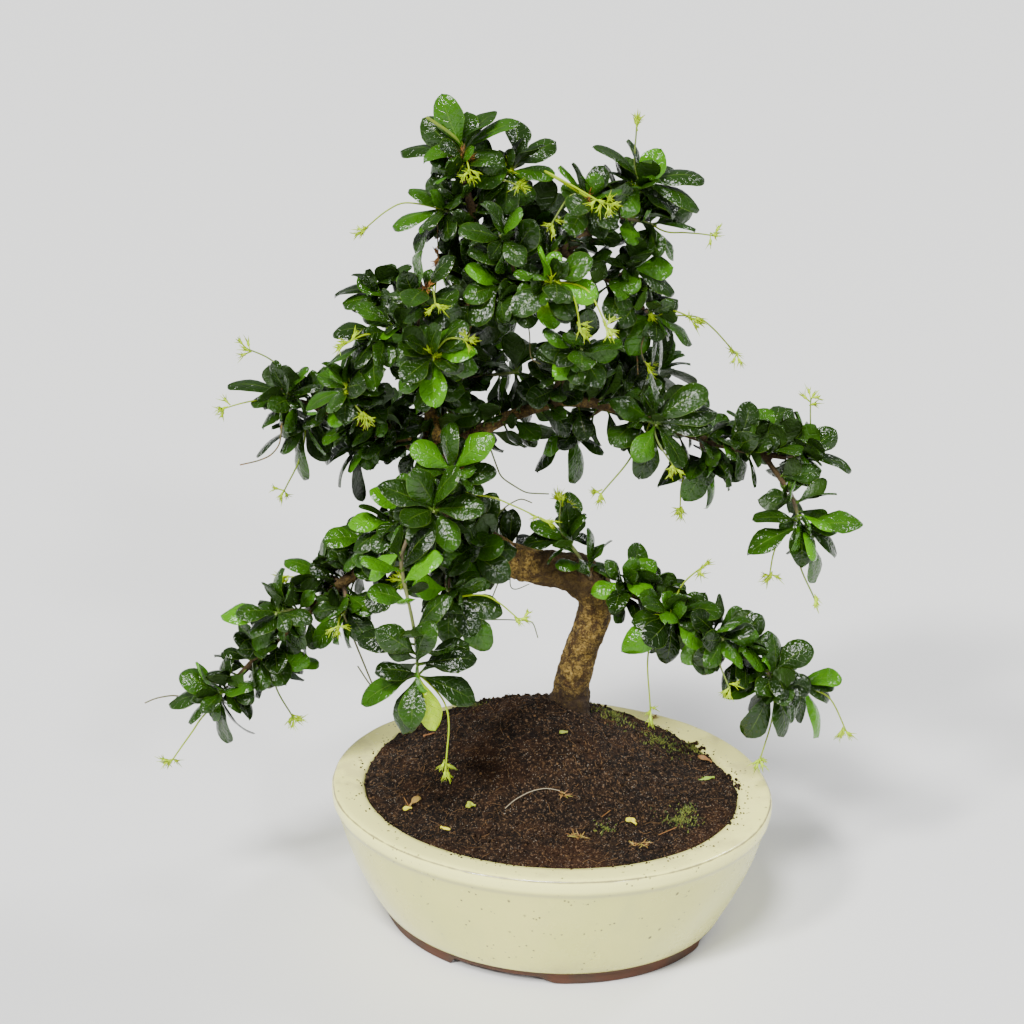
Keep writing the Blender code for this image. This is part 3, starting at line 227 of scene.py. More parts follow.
SHOOTS = [
    Shoot("crown_left", "trunk", (-37, 36, 341), end=True, more=2, buds=((-35, 331, -12),), tips=(
        (-46, 363, -2), (-65, 340, 2), (-36, 356, 6), (-14, 352, 4), (-54, 353, 0), (-54, 335, -10))),
    Shoot("crown_left_side", "trunk", (-48, 38, 315), buds=((-80, 306, -2),), tips=(
        (-68, 309, -4), (-58, 296, -4), (-36, 321, -8), (-44, 303, -10), (-60, 324, 0))),
    Shoot("crown_top_middle", "trunk", (-15, 44, 334), more=2, buds=((-14, 325, -16),), tips=(
        (1, 331, -6), (-33, 325, -12), (2, 343, 6), (-20, 313, -10))),
    Shoot("crown_right_top", "crown_right", (38, 36, 327), end=True, more=2, buds=((35, 350, 2),), tips=(
        (17, 342, -2), (46, 340, -2), (66, 329, 0), (66, 315, -4), (30, 312, -12))),
    Shoot("crown_right_side", "crown_right", (44, 42, 308), buds=((69, 304, 0),), tips=(
        (52, 293, -4), (61, 307, 0), (34, 296, -10), (54, 318, 4))),
    Shoot("crown_right_front", "crown_right", (15, 14, 320), buds=((24, 317, -14), (0, 309, -16)), tips=(
        (3, 333, -2), (29, 323, -6), (7, 304, -10), (27, 307, -10))),
    Shoot("crown_front", "front_crown", (-22, -6, 304), more=2, tips=(
        (-35, 296, -8), (-12, 291, -10), (-29, 318, -4), (-7, 309, -4))),
    Shoot("crown_middle", "back_crown", (2, 58, 300), more=2, tips=(
        (14, 290, -8), (-8, 286, -6), (16, 306, -2))),
    Shoot("upper_front", "front_crown", (1, -20, 284), end=True, buds=((12, 264, -8), (24, 263, -8)), tips=(
        (-16, 269, -8), (-4, 298, -4), (17, 293, -4), (9, 269, -8), (20, 279, -4))),
    Shoot("upper_front_left", "front_crown", (-22, -6, 282), more=1, tips=(
        (-36, 291, -4), (-22, 266, -8), (-38, 278, -6))),
    Shoot("right_shoulder", "crown_right_low", (36, 34, 289), more=1, tips=(
        (53, 293, -2), (42, 301, -2), (25, 295, -8), (53, 279, 0))),
    Shoot("right_side", "crown_right_low", (45, 34, 267), end=True, buds=((60, 268, -4), (79, 253, 0)), tips=(
        (61, 257, -2), (28, 262, -8), (47, 243, 4), (34, 251, -6), (55, 276, 4))),
    Shoot("right_inner_front", "centre_front", (13, -16, 254), end=True, tips=(
        (31, 257, -4), (3, 242, -6), (-3, 262, -6), (22, 238, -4), (15, 272, -2))),
    Shoot("middle_dark", "back_mid", (-14, 58, 244), tips=(
        (-30, 248, 0), (-14, 225, -4), (4, 228, 0), (-18, 262, -4))),
    Shoot("right_under", "back_right", (24, 52, 244), tips=(
        (12, 256, 2), (38, 237, -4), (18, 226, -8), (36, 254, 4))),
    Shoot("left_shoulder_end", "left_shoulder", (-75, 36, 280), end=True, tips=(
        (-69, 292, 0), (-83, 286, 2), (-90, 274, 0), (-60, 291, -2), (-80, 266, -8))),
    Shoot("left_shoulder_front", "left_shoulder_low", (-53, -10, 281), buds=((-50, 274, -12),), tips=(
        (-42, 294, -4), (-60, 268, -8), (-40, 276, -8), (-69, 278, -6), (-56, 297, 2))),
    Shoot("left_shoulder_low", "left_shoulder_low", (-77, -4, 257), end=True, buds=((-88, 257, -12),), tips=(
        (-94, 263, -4), (-97, 247, -2), (-86, 246, -8), (-66, 264, -6), (-63, 248, -6))),
    Shoot("middle_front", "front_mid", (-51, -22, 250), end=True, more=1, buds=((-36, 258, -10),), tips=(
        (-51, 228, -8), (-66, 236, -6), (-33, 253, -6), (-38, 267, -2), (-66, 256, -4))),
    Shoot("left_end", "mid_left", (-116, 32, 233), end=True, buds=((-131, 254, 0), (-142, 228, 0)), tips=(
        (-141, 238, 0), (-122, 248, 0), (-106, 247, -2), (-131, 230, -2), (-127, 219, -6), (-101, 239, -8))),
    Shoot("left_under", "mid_left", (-109, 40, 219), buds=((-118, 190, 0),), tips=(
        (-109, 194, -4), (-119, 207, -2), (-131, 206, 2), (-97, 204, 2))),
    Shoot("left_mid_top", "mid_left_front", (-90, -4, 236), end=True, buds=((-81, 224, -12),), tips=(
        (-99, 249, 0), (-82, 247, -2), (-97, 220, -6), (-74, 239, -6), (-107, 227, -4))),
    Shoot("left_mid_low", "mid_left", (-84, 44, 211), tips=(
        (-100, 203, 4), (-83, 182, 0), (-90, 199, -8), (-68, 205, -8), (-74, 222, -2))),
    Shoot("left_inner", "back_left", (-66, 56, 226), tips=(
        (-64, 206, -6), (-80, 226, -6), (-52, 216, -8), (-54, 232, -4))),
    Shoot("front_centre", "front", (-52, -26, 180), end=True, tips=(
        (-76, 193, -4), (-60, 198, -6), (-40, 199, -8), (-29, 182, -6), (-64, 165, -8), (-42, 162, -8))),
    Shoot("front_upper", "front", (-43, -16, 199), more=2, buds=((-3, 176, -2),), tips=(
        (-61, 211, -4), (-26, 216, -4), (-39, 218, 2), (-24, 198, -2))),
    Shoot("front_left", "front", (-72, -8, 173), tips=(
        (-90, 174, -2), (-88, 161, -6), (-72, 154, -6), (-80, 190, 2))),
    Shoot("limb_front", "lower_front", (-33, 2, 160), more=1, tips=(
        (-21, 165, -4), (-18, 148, -6), (-46, 150, -8), (-30, 142, -8))),
    Shoot("lower_centre", "lower_front", (-42, -14, 137), end=True, buds=((-14, 128, -4),), tips=(
        (-27, 113, -6), (-46, 115, -8), (-21, 132, -4), (-58, 132, -6), (-33, 122, -10))),
    Shoot("lower_centre_left", "low_left", (-68, 2, 150), tips=(
        (-88, 150, -4), (-76, 132, -8), (-58, 140, -8), (-62, 164, -4))),
    Shoot("hanging", "front", (-60, -42, 99), more=1, buds=((-48, 55, -6),),
          via=((-60, -26, 172), (-67, -35, 158), (-64, -39, 138), (-61, -41, 120)), tips=(
        (-84, 158, -4), (-49, 160, -4), (-69, 173, -2), (-53, 171, 2), (-82, 143, -2), (-54, 126, -8),
        (-46, 140, -2), (-78, 124, -6), (-91, 82, -4), (-69, 71, -6), (-51, 73, -8), (-31, 87, 0),
        (-33, 108, -2), (-79, 103, -8), (-88, 118, 2), (-37, 118, 6))),
    Shoot("low_left_upper", "low_left", (-83, 6, 166), tips=(
        (-98, 164, -4), (-68, 175, -4), (-80, 148, -8), (-93, 153, -8))),
    Shoot("low_left_middle", "low_left", (-104, 24, 149), buds=((-119, 149, -6),), tips=(
        (-119, 157, 0), (-112, 140, -8), (-94, 138, -8), (-98, 162, 0))),
    Shoot("low_left_outer", "low_left", (-124, -8, 131), tips=(
        (-149, 131, 0), (-137, 122, -4), (-108, 127, -6), (-117, 144, 0))),
    Shoot("low_left_hang", "low_left", (-126, 10, 106), more=1, buds=((-118, 80, -4),), tips=(
        (-105, 107, -2), (-113, 97, 0), (-139, 114, -4))),
    Shoot("low_left_end", "low_left", (-152, 0, 90), end=True, more=1, buds=((-176, 56, 0),), tips=(
        (-169, 101, -2), (-146, 111, 2), (-175, 86, 2), (-149, 66, -4), (-137, 70, 2), (-134, 101, -6))),
    Shoot("low_left_inner", "low_left", (-93, 0, 130), buds=((-96, 123, -10),), tips=(
        (-99, 116, 0), (-82, 116, -4), (-108, 127, 4), (-80, 131, -6))),
    Shoot("right_in", "back_right", (8, 50, 216), tips=(
        (12, 193, -6), (-4, 208, -4), (24, 208, -6), (-14, 218, 0))),
    Shoot("right_mid", "mid_right", (46, 2, 220), buds=((54, 202, -8), (22, 188, -6)), tips=(
        (27, 233, -2), (42, 243, 0), (72, 240, 0), (82, 228, 2), (70, 219, -4), (58, 200, -8), (39, 195, -8),
        (28, 212, -6))),
    Shoot("right_mid_low", "mid_right", (70, 24, 203), buds=((58, 181, -2),), tips=(
        (59, 185, -4), (47, 192, 0), (80, 190, 0), (52, 203, -6))),
    Shoot("right_outer", "mid_right", (88, 30, 216), tips=(
        (77, 227, 0), (98, 226, -2), (82, 202, -8), (104, 212, -6), (68, 212, 2))),
    Shoot("right_end", "mid_right", (112, 16, 206), end=True, more=1, buds=((113, 231, 2),), tips=(
        (125, 218, 0), (133, 199, -2), (115, 221, -4), (105, 189, -8), (92, 203, -8), (120, 193, -4))),
    Shoot("right_end_low", "right_down", (112, -4, 171), end=True, buds=((120, 138, -6), (99, 149, 0)), tips=(
        (88, 160, -4), (90, 176, 0), (112, 153, -8), (120, 142, 0), (142, 173, 0), (129, 160, 4))),
    Shoot("low_right_inner", "low_right", (35, 22, 146), tips=(
        (19, 140, -4), (26, 157, 0), (47, 157, 2), (45, 135, -8), (29, 130, -8), (52, 146, -6))),
    Shoot("low_right_middle", "low_right", (56, -2, 129), buds=((68, 153, 0), (47, 82, -2)), tips=(
        (33, 111, -4), (37, 127, 0), (60, 144, 0), (78, 133, -2), (70, 113, -8), (53, 106, -6),
        (42, 136, -8))),
    Shoot("low_right_outer", "low_right", (79, -10, 118), buds=((83, 94, -10),), tips=(
        (92, 126, 0), (66, 105, -4), (88, 104, -8), (70, 122, -6), (76, 101, 2))),
    Shoot("low_right_end", "low_right", (103, -4, 95), end=True, more=1, buds=((98, 57, -4),), tips=(
        (101, 122, 2), (118, 117, 0), (88, 110, -8), (80, 90, -4), (90, 66, -6), (109, 69, -6))),
    Shoot("low_right_tip", "low_right", (116, 8, 94), buds=((137, 73, 0),), more=1, tips=(
        (134, 100, 0), (127, 68, 0), (116, 76, -8), (130, 90, 4), (112, 108, 4))),
    Shoot("elbow", "trunk", (7, 20, 167), buds=((5, 184, 0),), tips=(
        (18, 172, 0), (-12, 164, 0), (25, 160, -2), (-8, 176, 4))),
    Shoot("back_middle", "back_mid", (-27, 92, 258), end=True, more=6),
    Shoot("back_crown_end", "back_crown", (-8, 79, 311), end=True, more=6),
    Shoot("back_crown_left", "back_crown", (-36, 64, 316), more=6),
    Shoot("back_right_end", "back_right", (46, 76, 246), end=True, more=7),
    Shoot("back_low_end", "back_low", (-57, 86, 176), end=True, more=6),
    Shoot("back_left_end", "back_left", (-90, 82, 223), end=True, more=7),
]


@dataclass
class Leaf:
    """A blade: where it grows from, the way it points, the way its upper face looks, and its size."""
    base: Vector
    along: Vector
    up: Vector
    length: float
    width: float
    arch: float
    curl: float


def smooth_path(points, steps):
    """Points on a Catmull-Rom curve through the given ones, each a Vector of any size."""
    ends = [2 * points[0] - points[1], *points, 2 * points[-1] - points[-2]]
    path = []
    for start in range(len(points) - 1):
        a, b, c, d = ends[start:start + 4]
        for step in range(steps):
            t = step / steps
            path.append(0.5 * (2 * b + (c - a) * t + (2 * a - 5 * b + 4 * c - d) * t ** 2
                               + (3 * b - a - 3 * c + d) * t ** 3))
    path.append(points[-1].copy())
    return path


def mound_height(x, y):
    """The height of the soil over a point, without its crumbs."""
    away = math.hypot((x - MOUND_AT.x) / MOUND_REACH.x, (y - MOUND_AT.y) / MOUND_REACH.y)
    return SOIL_EDGE_Z + MOUND_HEIGHT * math.cos(0.5 * math.pi * min(1.0, away)) ** 2


def wood_paths():
    """Every branch's middle line and its radii, evenly stepped."""
    paths = {}
    for name, (_, points) in WOOD.items():
        knots = [Vector((*plan(x, y, z), radius * MM)) for x, y, z, radius in points]
        dense = smooth_path(knots, 8)
        kept = [dense[0]]
        step = TRUNK_STEP if name == "trunk" else BRANCH_STEP
        for knot in dense[1:]:
            if (knot.xyz - kept[-1].xyz).length >= step:
                kept.append(knot)
        kept[-1] = dense[-1]
        paths[name] = ([knot.xyz for knot in kept], [knot.w for knot in kept])
    return paths


def tube_tree(path, radii, sides=6):
    """The surface of a tube, for finding what it runs into."""
    verts, faces = [], []
    for index, (spot, radius) in enumerate(zip(path, radii)):
        ahead = path[min(index + 1, len(path) - 1)] - path[max(index - 1, 0)]
        turn = ahead.to_track_quat("Z", "X")
        for side in range(sides):
            angle = 2 * math.pi * side / sides
            verts.append(spot + turn @ Vector((math.cos(angle), math.sin(angle), 0.0)) * radius)
    for ring in range(len(path) - 1):
        for side in range(sides):
            a = ring * sides + side
            b = ring * sides + (side + 1) % sides
            faces += [(a, b, b + sides), (a, b + sides, a + sides)]
    return BVHTree.FromPolygons(verts, faces)


def blade_solid(leaf, grow=0.0, start=0.0):
    """Corners and triangles of a blade with a raised rib, from its base or from a share of it."""
    across = leaf.along.cross(leaf.up)

    def middle(share):
        lift = leaf.arch * share * (1 - share)
        return leaf.base + (leaf.along * share + leaf.up * lift) * leaf.length

    verts = [middle(start)]
    for share, wide in LEAF_STATIONS:
        half = leaf.width / 2 * wide + grow
        centre = middle(share)
        drop = leaf.up * (max(LEAF_THICK, half * leaf.curl) + grow)
        verts += [centre - across * half - drop, centre + leaf.up * grow, centre + across * half - drop]
    verts.append(middle(1.0) - leaf.up * LEAF_THICK / 2 + leaf.along * grow)
    faces = []
    for side in range(3):
        after = (side + 1) % 3
        faces += [(0, 1 + side, 1 + after), (1 + side, 4 + side, 4 + after),
                  (1 + side, 4 + after, 1 + after), (4 + side, 7, 4 + after)]
    return verts, faces


class Room:
    """What is already in place, so that the next leaf can be set clear of it."""

    def __init__(self):
        self.taken = []

    def add(self, owner, kind, tree, middle, reach):
        self.taken.append((owner, kind, tree, middle, reach))

    def clashes(self, owner, tree, middle, reach):
        """Whether the tree meets anything that belongs to another owner."""
        for other, kind, taken, centre, extent in self.taken:
            if other != owner and kind != "outer" and (centre - middle).length < reach + extent:
                if tree.overlap(taken):
                    return True
        return False

    def crowds(self, owner, tree, middle, reach):
        """Whether the outer part of a blade meets one on the same shoot."""
        for other, kind, taken, centre, extent in self.taken:
            if other == owner and kind == "outer" and (centre - middle).length < reach + extent:
                if tree.overlap(taken):
                    return True
        return False


def middle_and_reach(points):
    """The middle of some points and how far the farthest is from it."""
    middle = sum(points, Vector()) / len(points)
    return middle, max((point - middle).length for point in points)


def over_pot(point):
    """Whether a point is too near the pot, the soil or the ground."""
    if point.z < KEEP_OFF:
        return True
    local = Matrix.Rotation(-POT_TURN, 3, "Z") @ point
    ring = math.hypot(local.x, local.y / POT_ROUND) / (POT_LENGTH / 2)
    if ring > POT_OUTSIDE:
        return False
    floor = mound_height(point.x, point.y) if ring < SOIL_INSIDE else POT_HEIGHT
    return point.z < floor + KEEP_OFF


def nearest_on(path, point):
    """Where along a path it comes nearest to a point."""
    best, found, travelled = None, 0.0, 0.0
    for start, end in zip(path, path[1:]):
        run = end - start
        share = max(0.0, min(1.0, (point - start).dot(run) / run.length_squared))
        away = (start + run * share - point).length
        if best is None or away < best:
            best, found = away, travelled + run.length * share
        travelled += run.length
    return found, best


def path_length(path):
    """The length of a path from its first point to its last."""
    return sum((end - start).length for start, end in zip(path, path[1:]))


def scatter(chance, amount):
    """Three normal draws as a vector."""
    return Vector([chance.gauss(0, amount) for _ in range(3)])


def square_to(axis, turn):
    """A direction square to an axis, turned round it."""
    side = axis.orthogonal().normalized()
    side.rotate(Matrix.Rotation(turn, 3, axis))
    return side


def along_path(path, radii, distance):
    """The point, the direction and the radius at a distance along a path."""
    for index in range(len(path) - 1):
        run = path[index + 1] - path[index]
        if distance <= run.length or index == len(path) - 2:
            share = min(1.0, distance / run.length)
            return (path[index] + run * share, run.normalized(),
                    radii[index] * (1 - share) + radii[index + 1] * share)
        distance -= run.length


def on_stem(path, distance):
    """The point and the direction at a distance along a stem."""
    return along_path(path, [STEM_RADIUS] * len(path), distance)[:2]


def stem_path(shoot, wood, bow):
    """The stem's middle line, from its seat on the branch to its tip."""
    path, radii = wood[shoot.parent]
    tip = plan(*shoot.tip)
    if shoot.end:
        way = (path[-1] - path[-2]).normalized()
        seat = path[-1] + way * GAP
    else:
        toward = plan(*shoot.via[0]) if shoot.via else tip
        found, away = nearest_on(path, toward)
        spot, run, radius = along_path(path, radii, max(SEAT_FROM, found - SEAT_BACK * away))
        way = (toward - spot) - run * (toward - spot).dot(run)
        way.normalize()
        seat = spot + way * (radius + GAP)
    first = seat + way * STEM_RISE * MM
    if shoot.via:
        return [seat, *smooth_path([first, *[plan(*spot) for spot in shoot.via], tip], 2)]
    return [seat, first, (first + tip) / 2 + bow * (tip - first).length, tip]


def place_stems(wood, room):
    """Every shoot's stem, bowed so as to miss the ones before it."""
    stems = {}
    for shoot in SHOOTS:
        chance = random.Random(shoot.name + " stem")
        for attempt in range(STEM_TRIES):
            spread = 0.05 + 0.03 * attempt
            bow = Vector([chance.uniform(-spread, spread) for _ in range(3)]) + Vector((0, 0, 0.07))
            path = stem_path(shoot, wood, bow)
            free = tube_tree(path[1:], [STEM_RADIUS + STEM_CLEAR] * (len(path) - 1))
            middle, reach = middle_and_reach(path[1:])
            if not room.clashes(shoot.name, free, middle, reach):
                break
        whole = tube_tree(path, [STEM_RADIUS + STEM_CLEAR] * len(path))
        middle, reach = middle_and_reach(path)
        room.add(shoot.name, "stem", whole, middle, reach + STEM_RADIUS)
        stems[shoot.name] = path
    return stems


def leaf_between(base, tip, roll, chance):
    """A leaf from base to tip with its upper face to the sky and away from the tree's middle."""
    along = (tip - base).normalized()
    out = Vector((base.x - TREE_AXIS.x, base.y - TREE_AXIS.y, 0.0)) * 0.6 - Vector((0, OUTWARD, 0))
    if base.y > BACK_Y:
        out.y = abs(out.y) + OUTWARD
    face = Vector((0, 0, 0.8)) + out.normalized() * 0.6 + roll
    up = (face - along * face.dot(along)).normalized()
    length = (tip - base).length
    width = min(WIDEST, length * chance.uniform(0.56, 0.68))
    return Leaf(base, along, up, length, width, chance.uniform(0.25, 0.5), chance.uniform(0.1, 0.35))


def try_leaf(owner, leaf, room):
    """Adds the leaf to the room if it is clear of everything, and says whether it was."""
    verts, faces = blade_solid(leaf, CLEAR / 2)
    if any(over_pot(vert) for vert in verts):
        return False
    whole = BVHTree.FromPolygons(verts, faces)
    middle, reach = middle_and_reach(verts)
    if room.clashes(owner, whole, middle, reach):
        return False
    outer = BVHTree.FromPolygons(*blade_solid(leaf, CLEAR / 2, start=0.2))
    if room.crowds(owner, outer, middle, reach):
        return False
    room.add(owner, "leaf", whole, middle, reach)
    room.add(owner, "outer", outer, middle, reach)
    return True


def place_picked(shoot, path, room):
    """The leaves whose tips are given."""
    leaves = []
    rooted = path_length(path) - ROOT_DEPTH
    for index, (x, z, depth) in enumerate(shoot.tips):
        goal = plan(x, shoot.tip[1] + depth, z)
        for attempt in range(PICK_TRIES):
            chance = random.Random(f"{shoot.name} leaf {index} {attempt}")
            tip = goal + scatter(chance, 0.25 * attempt) * MM
            roll = scatter(chance, 0.14 + 0.03 * attempt)
            wanted = chance.uniform(*WANTED_LENGTH)
            spots = [on_stem(path, rooted * (0.3 + 0.7 * step / 14))[0] for step in range(15)]
            base = min(spots, key=lambda spot: abs((spot - tip).length - wanted)
                       - 0.2 * (spot - path[0]).length)
            reach = (tip - base).length
            if reach < PICKED_LENGTH[0]:
                tip = base + (tip - base).normalized() * PICKED_LENGTH[0]
            if reach > PICKED_LENGTH[1]:
                tip = base + (tip - base).normalized() * PICKED_LENGTH[1]
            leaf = leaf_between(base, tip, roll, chance)
            if try_leaf(shoot.name, leaf, room):
                leaves.append(leaf)
                break
    return leaves


def place_ruled(shoot, path, room):
    """Further leaves set round the stem, a golden angle apart."""
    leaves = []
    rooted = path_length(path) - ROOT_DEPTH
    for index in range(shoot.more):
        for attempt in range(RULED_TRIES):
            chance = random.Random(f"{shoot.name} more {index} {attempt}")
            share = 1.0 - 0.085 * index * chance.uniform(0.8, 1.2)
            base, axis = on_stem(path, rooted * max(0.3, share))
            lean = math.radians(38 + 6 * index + chance.uniform(-14, 22))
            side = square_to(axis, index * GOLDEN_ANGLE + chance.uniform(-0.3, 0.3) * (1 + attempt))
            along = axis * math.cos(lean) + side * math.sin(lean)
            tip = base + along.normalized() * chance.uniform(*LEAF_LENGTH) * (1 - 0.012 * attempt)
            leaf = leaf_between(base, tip, axis * 0.5, chance)
            if try_leaf(shoot.name, leaf, room):
                leaves.append(leaf)
                break
    return leaves


def place_buds(shoot, path, room):
    """The flower stalks: each one a path that ends at its bud."""
    stalks = []
    total = path_length(path)
    for index, (x, z, depth) in enumerate(shoot.buds):
        goal = plan(x, shoot.tip[1] + depth, z)
        for attempt in range(PICK_TRIES):
            chance = random.Random(f"{shoot.name} bud {index} {attempt}")
            tip = goal + scatter(chance, 0.3 * attempt) * MM
            found, _ = nearest_on(path, tip)
            base, _ = on_stem(path, max(0.55 * total, min(total, found) - 1.5 * ROOT_DEPTH))
            span = tip - base
            rise = 0.14 + 0.02 * attempt * chance.uniform(-1, 1)
            middle = base + span * 0.5 + Vector((0, 0, rise)) * span.length
            line = smooth_path([base, middle, tip], 1 if span.length < 14 * MM else 2)
            if len(line) == 5:
                line.pop(1)
            beyond = tip + (line[-1] - line[-2]).normalized() * BUD_LENGTH
            outer = line[1:] + [beyond]
            radii_round = [STALK_RADIUS + STALK_CLEAR] * (len(line) - 1) + [BUD_RADIUS + STALK_CLEAR]
            free = tube_tree(outer, radii_round)
            middle, reach = middle_and_reach(outer)
            if over_pot(beyond) or over_pot(tip):
                continue
            if not room.clashes(shoot.name, free, middle, reach + BUD_RADIUS):
                room.add(shoot.name, "bud", free, middle, reach + BUD_RADIUS)
                stalks.append((line, beyond))
                break
    return stalks


def grow_planned_leaves(wood):
    """The stems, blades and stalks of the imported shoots, set by the same rules and draws."""
    room = Room()
    for name, (path, radii) in wood.items():
        grown = [radius + STEM_CLEAR for radius in radii]
        for start in range(0, len(path) - 1, 3):
            part = path[start:start + 4]
            if len(part) > 1:
                middle, reach = middle_and_reach(part)
                room.add(name, "wood", tube_tree(part, grown[start:start + 4]), middle, reach + max(radii))
    stems = place_stems(wood, room)
    leaves = {shoot.name: place_picked(shoot, stems[shoot.name], room) for shoot in SHOOTS}
    stalks = {shoot.name: place_buds(shoot, stems[shoot.name], room) for shoot in SHOOTS}
    for shoot in SHOOTS:
        leaves[shoot.name] += place_ruled(shoot, stems[shoot.name], room)
    return room, stems, leaves, stalks


# Materials of a spray, by number
LEAF_FINISH, STEM_FINISH, BUD_FINISH = 0, 1, 2
NO_PLACE = np.zeros((1, 1, 3))

# Further leaves, which keep only their inner part clear of others and may reach 6 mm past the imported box
BOX_LOW = Vector(CAD_BOX[0]) - POT_AT - Vector((6, 6, 0)) * MM
BOX_HIGH = Vector(CAD_BOX[1]) - POT_AT + Vector((6, 6, 5)) * MM
FURTHER_TRIES = 14
FURTHER_LENGTH = (11, 20)           # in mm
LOOSE_ROLL = 0.8                    # how far a further leaf may turn from the way the planned ones face
SPUR_FROM = 12 * MM
SPUR_PITCH = 4.5 * MM
SPUR_LEAVES = 3
SPUR_TRIES = 8
SPUR_LENGTH = (12, 20)              # in mm
SPUR_ABOVE = 0.19                   # leaves grow from the trunk above this height
INNER_WIDTH = 0.45                  # the part of a further leaf that keeps clear: share of its width
INNER_START = 0.42                  # and where on its length that part starts


def fits_between(leaf, room):
    """Adds the leaf if its inner part is clear of the rest, and says whether it was."""
    tip = leaf.base + leaf.along * leaf.length
    if any(tip[axis] < BOX_LOW[axis] or tip[axis] > BOX_HIGH[axis] for axis in range(3)):
        return False
    slim = Leaf(leaf.base, leaf.along, leaf.up, leaf.length, leaf.width * INNER_WIDTH, leaf.arch, leaf.curl)
    verts, faces = blade_solid(slim, start=INNER_START)
    if any(over_pot(vert) for vert in verts):
        return False
    tree = BVHTree.FromPolygons(verts, faces)
    middle, reach = middle_and_reach(verts)
    for _, kind, taken, centre, extent in room.taken:
        if kind != "leaf" and (centre - middle).length < reach + extent and tree.overlap(taken):
            return False
    room.add("further", "outer", tree, middle, reach)
    return True


def further_leaves(shoot, path, room, count):
    """More leaves round a shoot's stem, in the rosettes between the planned ones."""
    leaves = []
    rooted = path_length(path) - ROOT_DEPTH
    for index in range(count):
        for attempt in range(FURTHER_TRIES):
            chance = random.Random(f"{shoot.name} further {index} {attempt}")
            share = 1.0 - 0.85 * chance.random() ** 1.3
            base, axis = on_stem(path, rooted * share)
            lean = math.radians(chance.uniform(30, 110))
            side = square_to(axis, index * GOLDEN_ANGLE + chance.uniform(-1, 1))
            along = axis * math.cos(lean) + side * math.sin(lean)
            roll = scatter(chance, LOOSE_ROLL)
            tip = base + along * chance.uniform(*FURTHER_LENGTH) * MM
            leaf = leaf_between(base, tip, roll, chance)
            if fits_between(leaf, room):
                leaves.append(leaf)
                break
    return leaves


def spur_leaves(name, path, radii, room):
    """Leaves that grow in small bunches straight from a woody branch."""
    leaves = []
    total = path_length(path)
    distance = SPUR_FROM
    while distance < total - 3 * MM:
        spot, run, radius = along_path(path, radii, distance)
        distance += SPUR_PITCH
        if name == "trunk" and spot.z < SPUR_ABOVE:
            continue
        for index in range(SPUR_LEAVES):
            for attempt in range(SPUR_TRIES):
                chance = random.Random(f"{name} spur {distance:.4f} {index} {attempt}")
                side = scatter(chance, 1) + Vector((0, 0, 0.5))
                side = (side - run * side.dot(run)).normalized()
                base = spot + side * radius * 0.75
                along = side + run * chance.uniform(0.1, 0.9) + Vector((0, 0, 0.2))
                tip = base + along.normalized() * chance.uniform(*SPUR_LENGTH) * MM
                leaf = leaf_between(base, tip, scatter(chance, LOOSE_ROLL), chance)
                if fits_between(leaf, room):
                    leaves.append(leaf)
                    break
    return leaves


@dataclass
class Loft:
    """One closed skin: rings of points joined in order and closed at both ends.

    place says for each point where it is on the piece: share of length, share of width, and 1 on top.
    """
    rings: np.ndarray
    place: np.ndarray
    tone: float = 0.0
    finish: int = LEAF_FINISH


def lofted_mesh(name, lofts, sharp=50.0):
    """A mesh of many lofted skins, with the place and tone of each as attributes."""
    verts, faces, finishes, places, tones = [], [], [], [], []
    offset = 0
    for loft in lofts:
        count, around, _ = loft.rings.shape
        first = len(faces)
        index = offset + np.arange(count * around).reshape(count, around)
        turned = np.roll(index, -1, axis=1)
        faces += np.stack((index[:-1], turned[:-1], turned[1:], index[1:]), axis=-1).reshape(-1, 4).tolist()
        faces += [index[0][::-1].tolist(), index[-1].tolist()]
        finishes += [loft.finish] * (len(faces) - first)
        verts.append(loft.rings.reshape(-1, 3))
        places.append(np.broadcast_to(loft.place, loft.rings.shape).reshape(-1, 3))
        tones.append(np.full(count * around, loft.tone))
        offset += count * around
    mesh = bpy.data.meshes.new(name)
    mesh.from_pydata(np.concatenate(verts).tolist(), [], faces)
    mesh.polygons.foreach_set("material_index", finishes)
    write_attribute(mesh, "place", "FLOAT_VECTOR", np.concatenate(places))
    write_attribute(mesh, "tone", "FLOAT", np.concatenate(tones))
    mesh.shade_smooth()
    mesh.set_sharp_from_angle(angle=math.radians(sharp))
    return mesh


def write_attribute(mesh, name, kind, values):
    """Stores a value for each point of a mesh, which its material reads by name."""
    made = mesh.attributes.new(name, kind, "POINT")
    made.data.foreach_set("vector" if kind == "FLOAT_VECTOR" else "value",
                          np.asarray(values, np.float32).reshape(-1))


def ring_frames(path):
    """A frame at each point of a path, turned as little as can be from one to the next."""
    path = np.asarray(path, float)
    ahead = np.gradient(path, axis=0)
    ahead /= np.linalg.norm(ahead, axis=1)[:, None]
    side = np.cross(ahead[0], (0.3, 0.2, 1.0))
    sides = []
    for way in ahead:
        side = side - way * np.dot(side, way)
        side /= np.linalg.norm(side)
        sides.append(side)
    sides = np.array(sides)
    return path, ahead, sides, np.cross(ahead, sides)


def tube_rings(path, radii, around):
    """Rings of points round a path."""
    path, _, sides, ups = ring_frames(path)
    angles = np.linspace(0, 2 * math.pi, around, endpoint=False)
    cosines, sines = np.cos(angles)[None, :, None], np.sin(angles)[None, :, None]
    circle = cosines * sides[:, None, :] + sines * ups[:, None, :]
    return path[:, None, :] + circle * np.asarray(radii, float)[:, None, None]


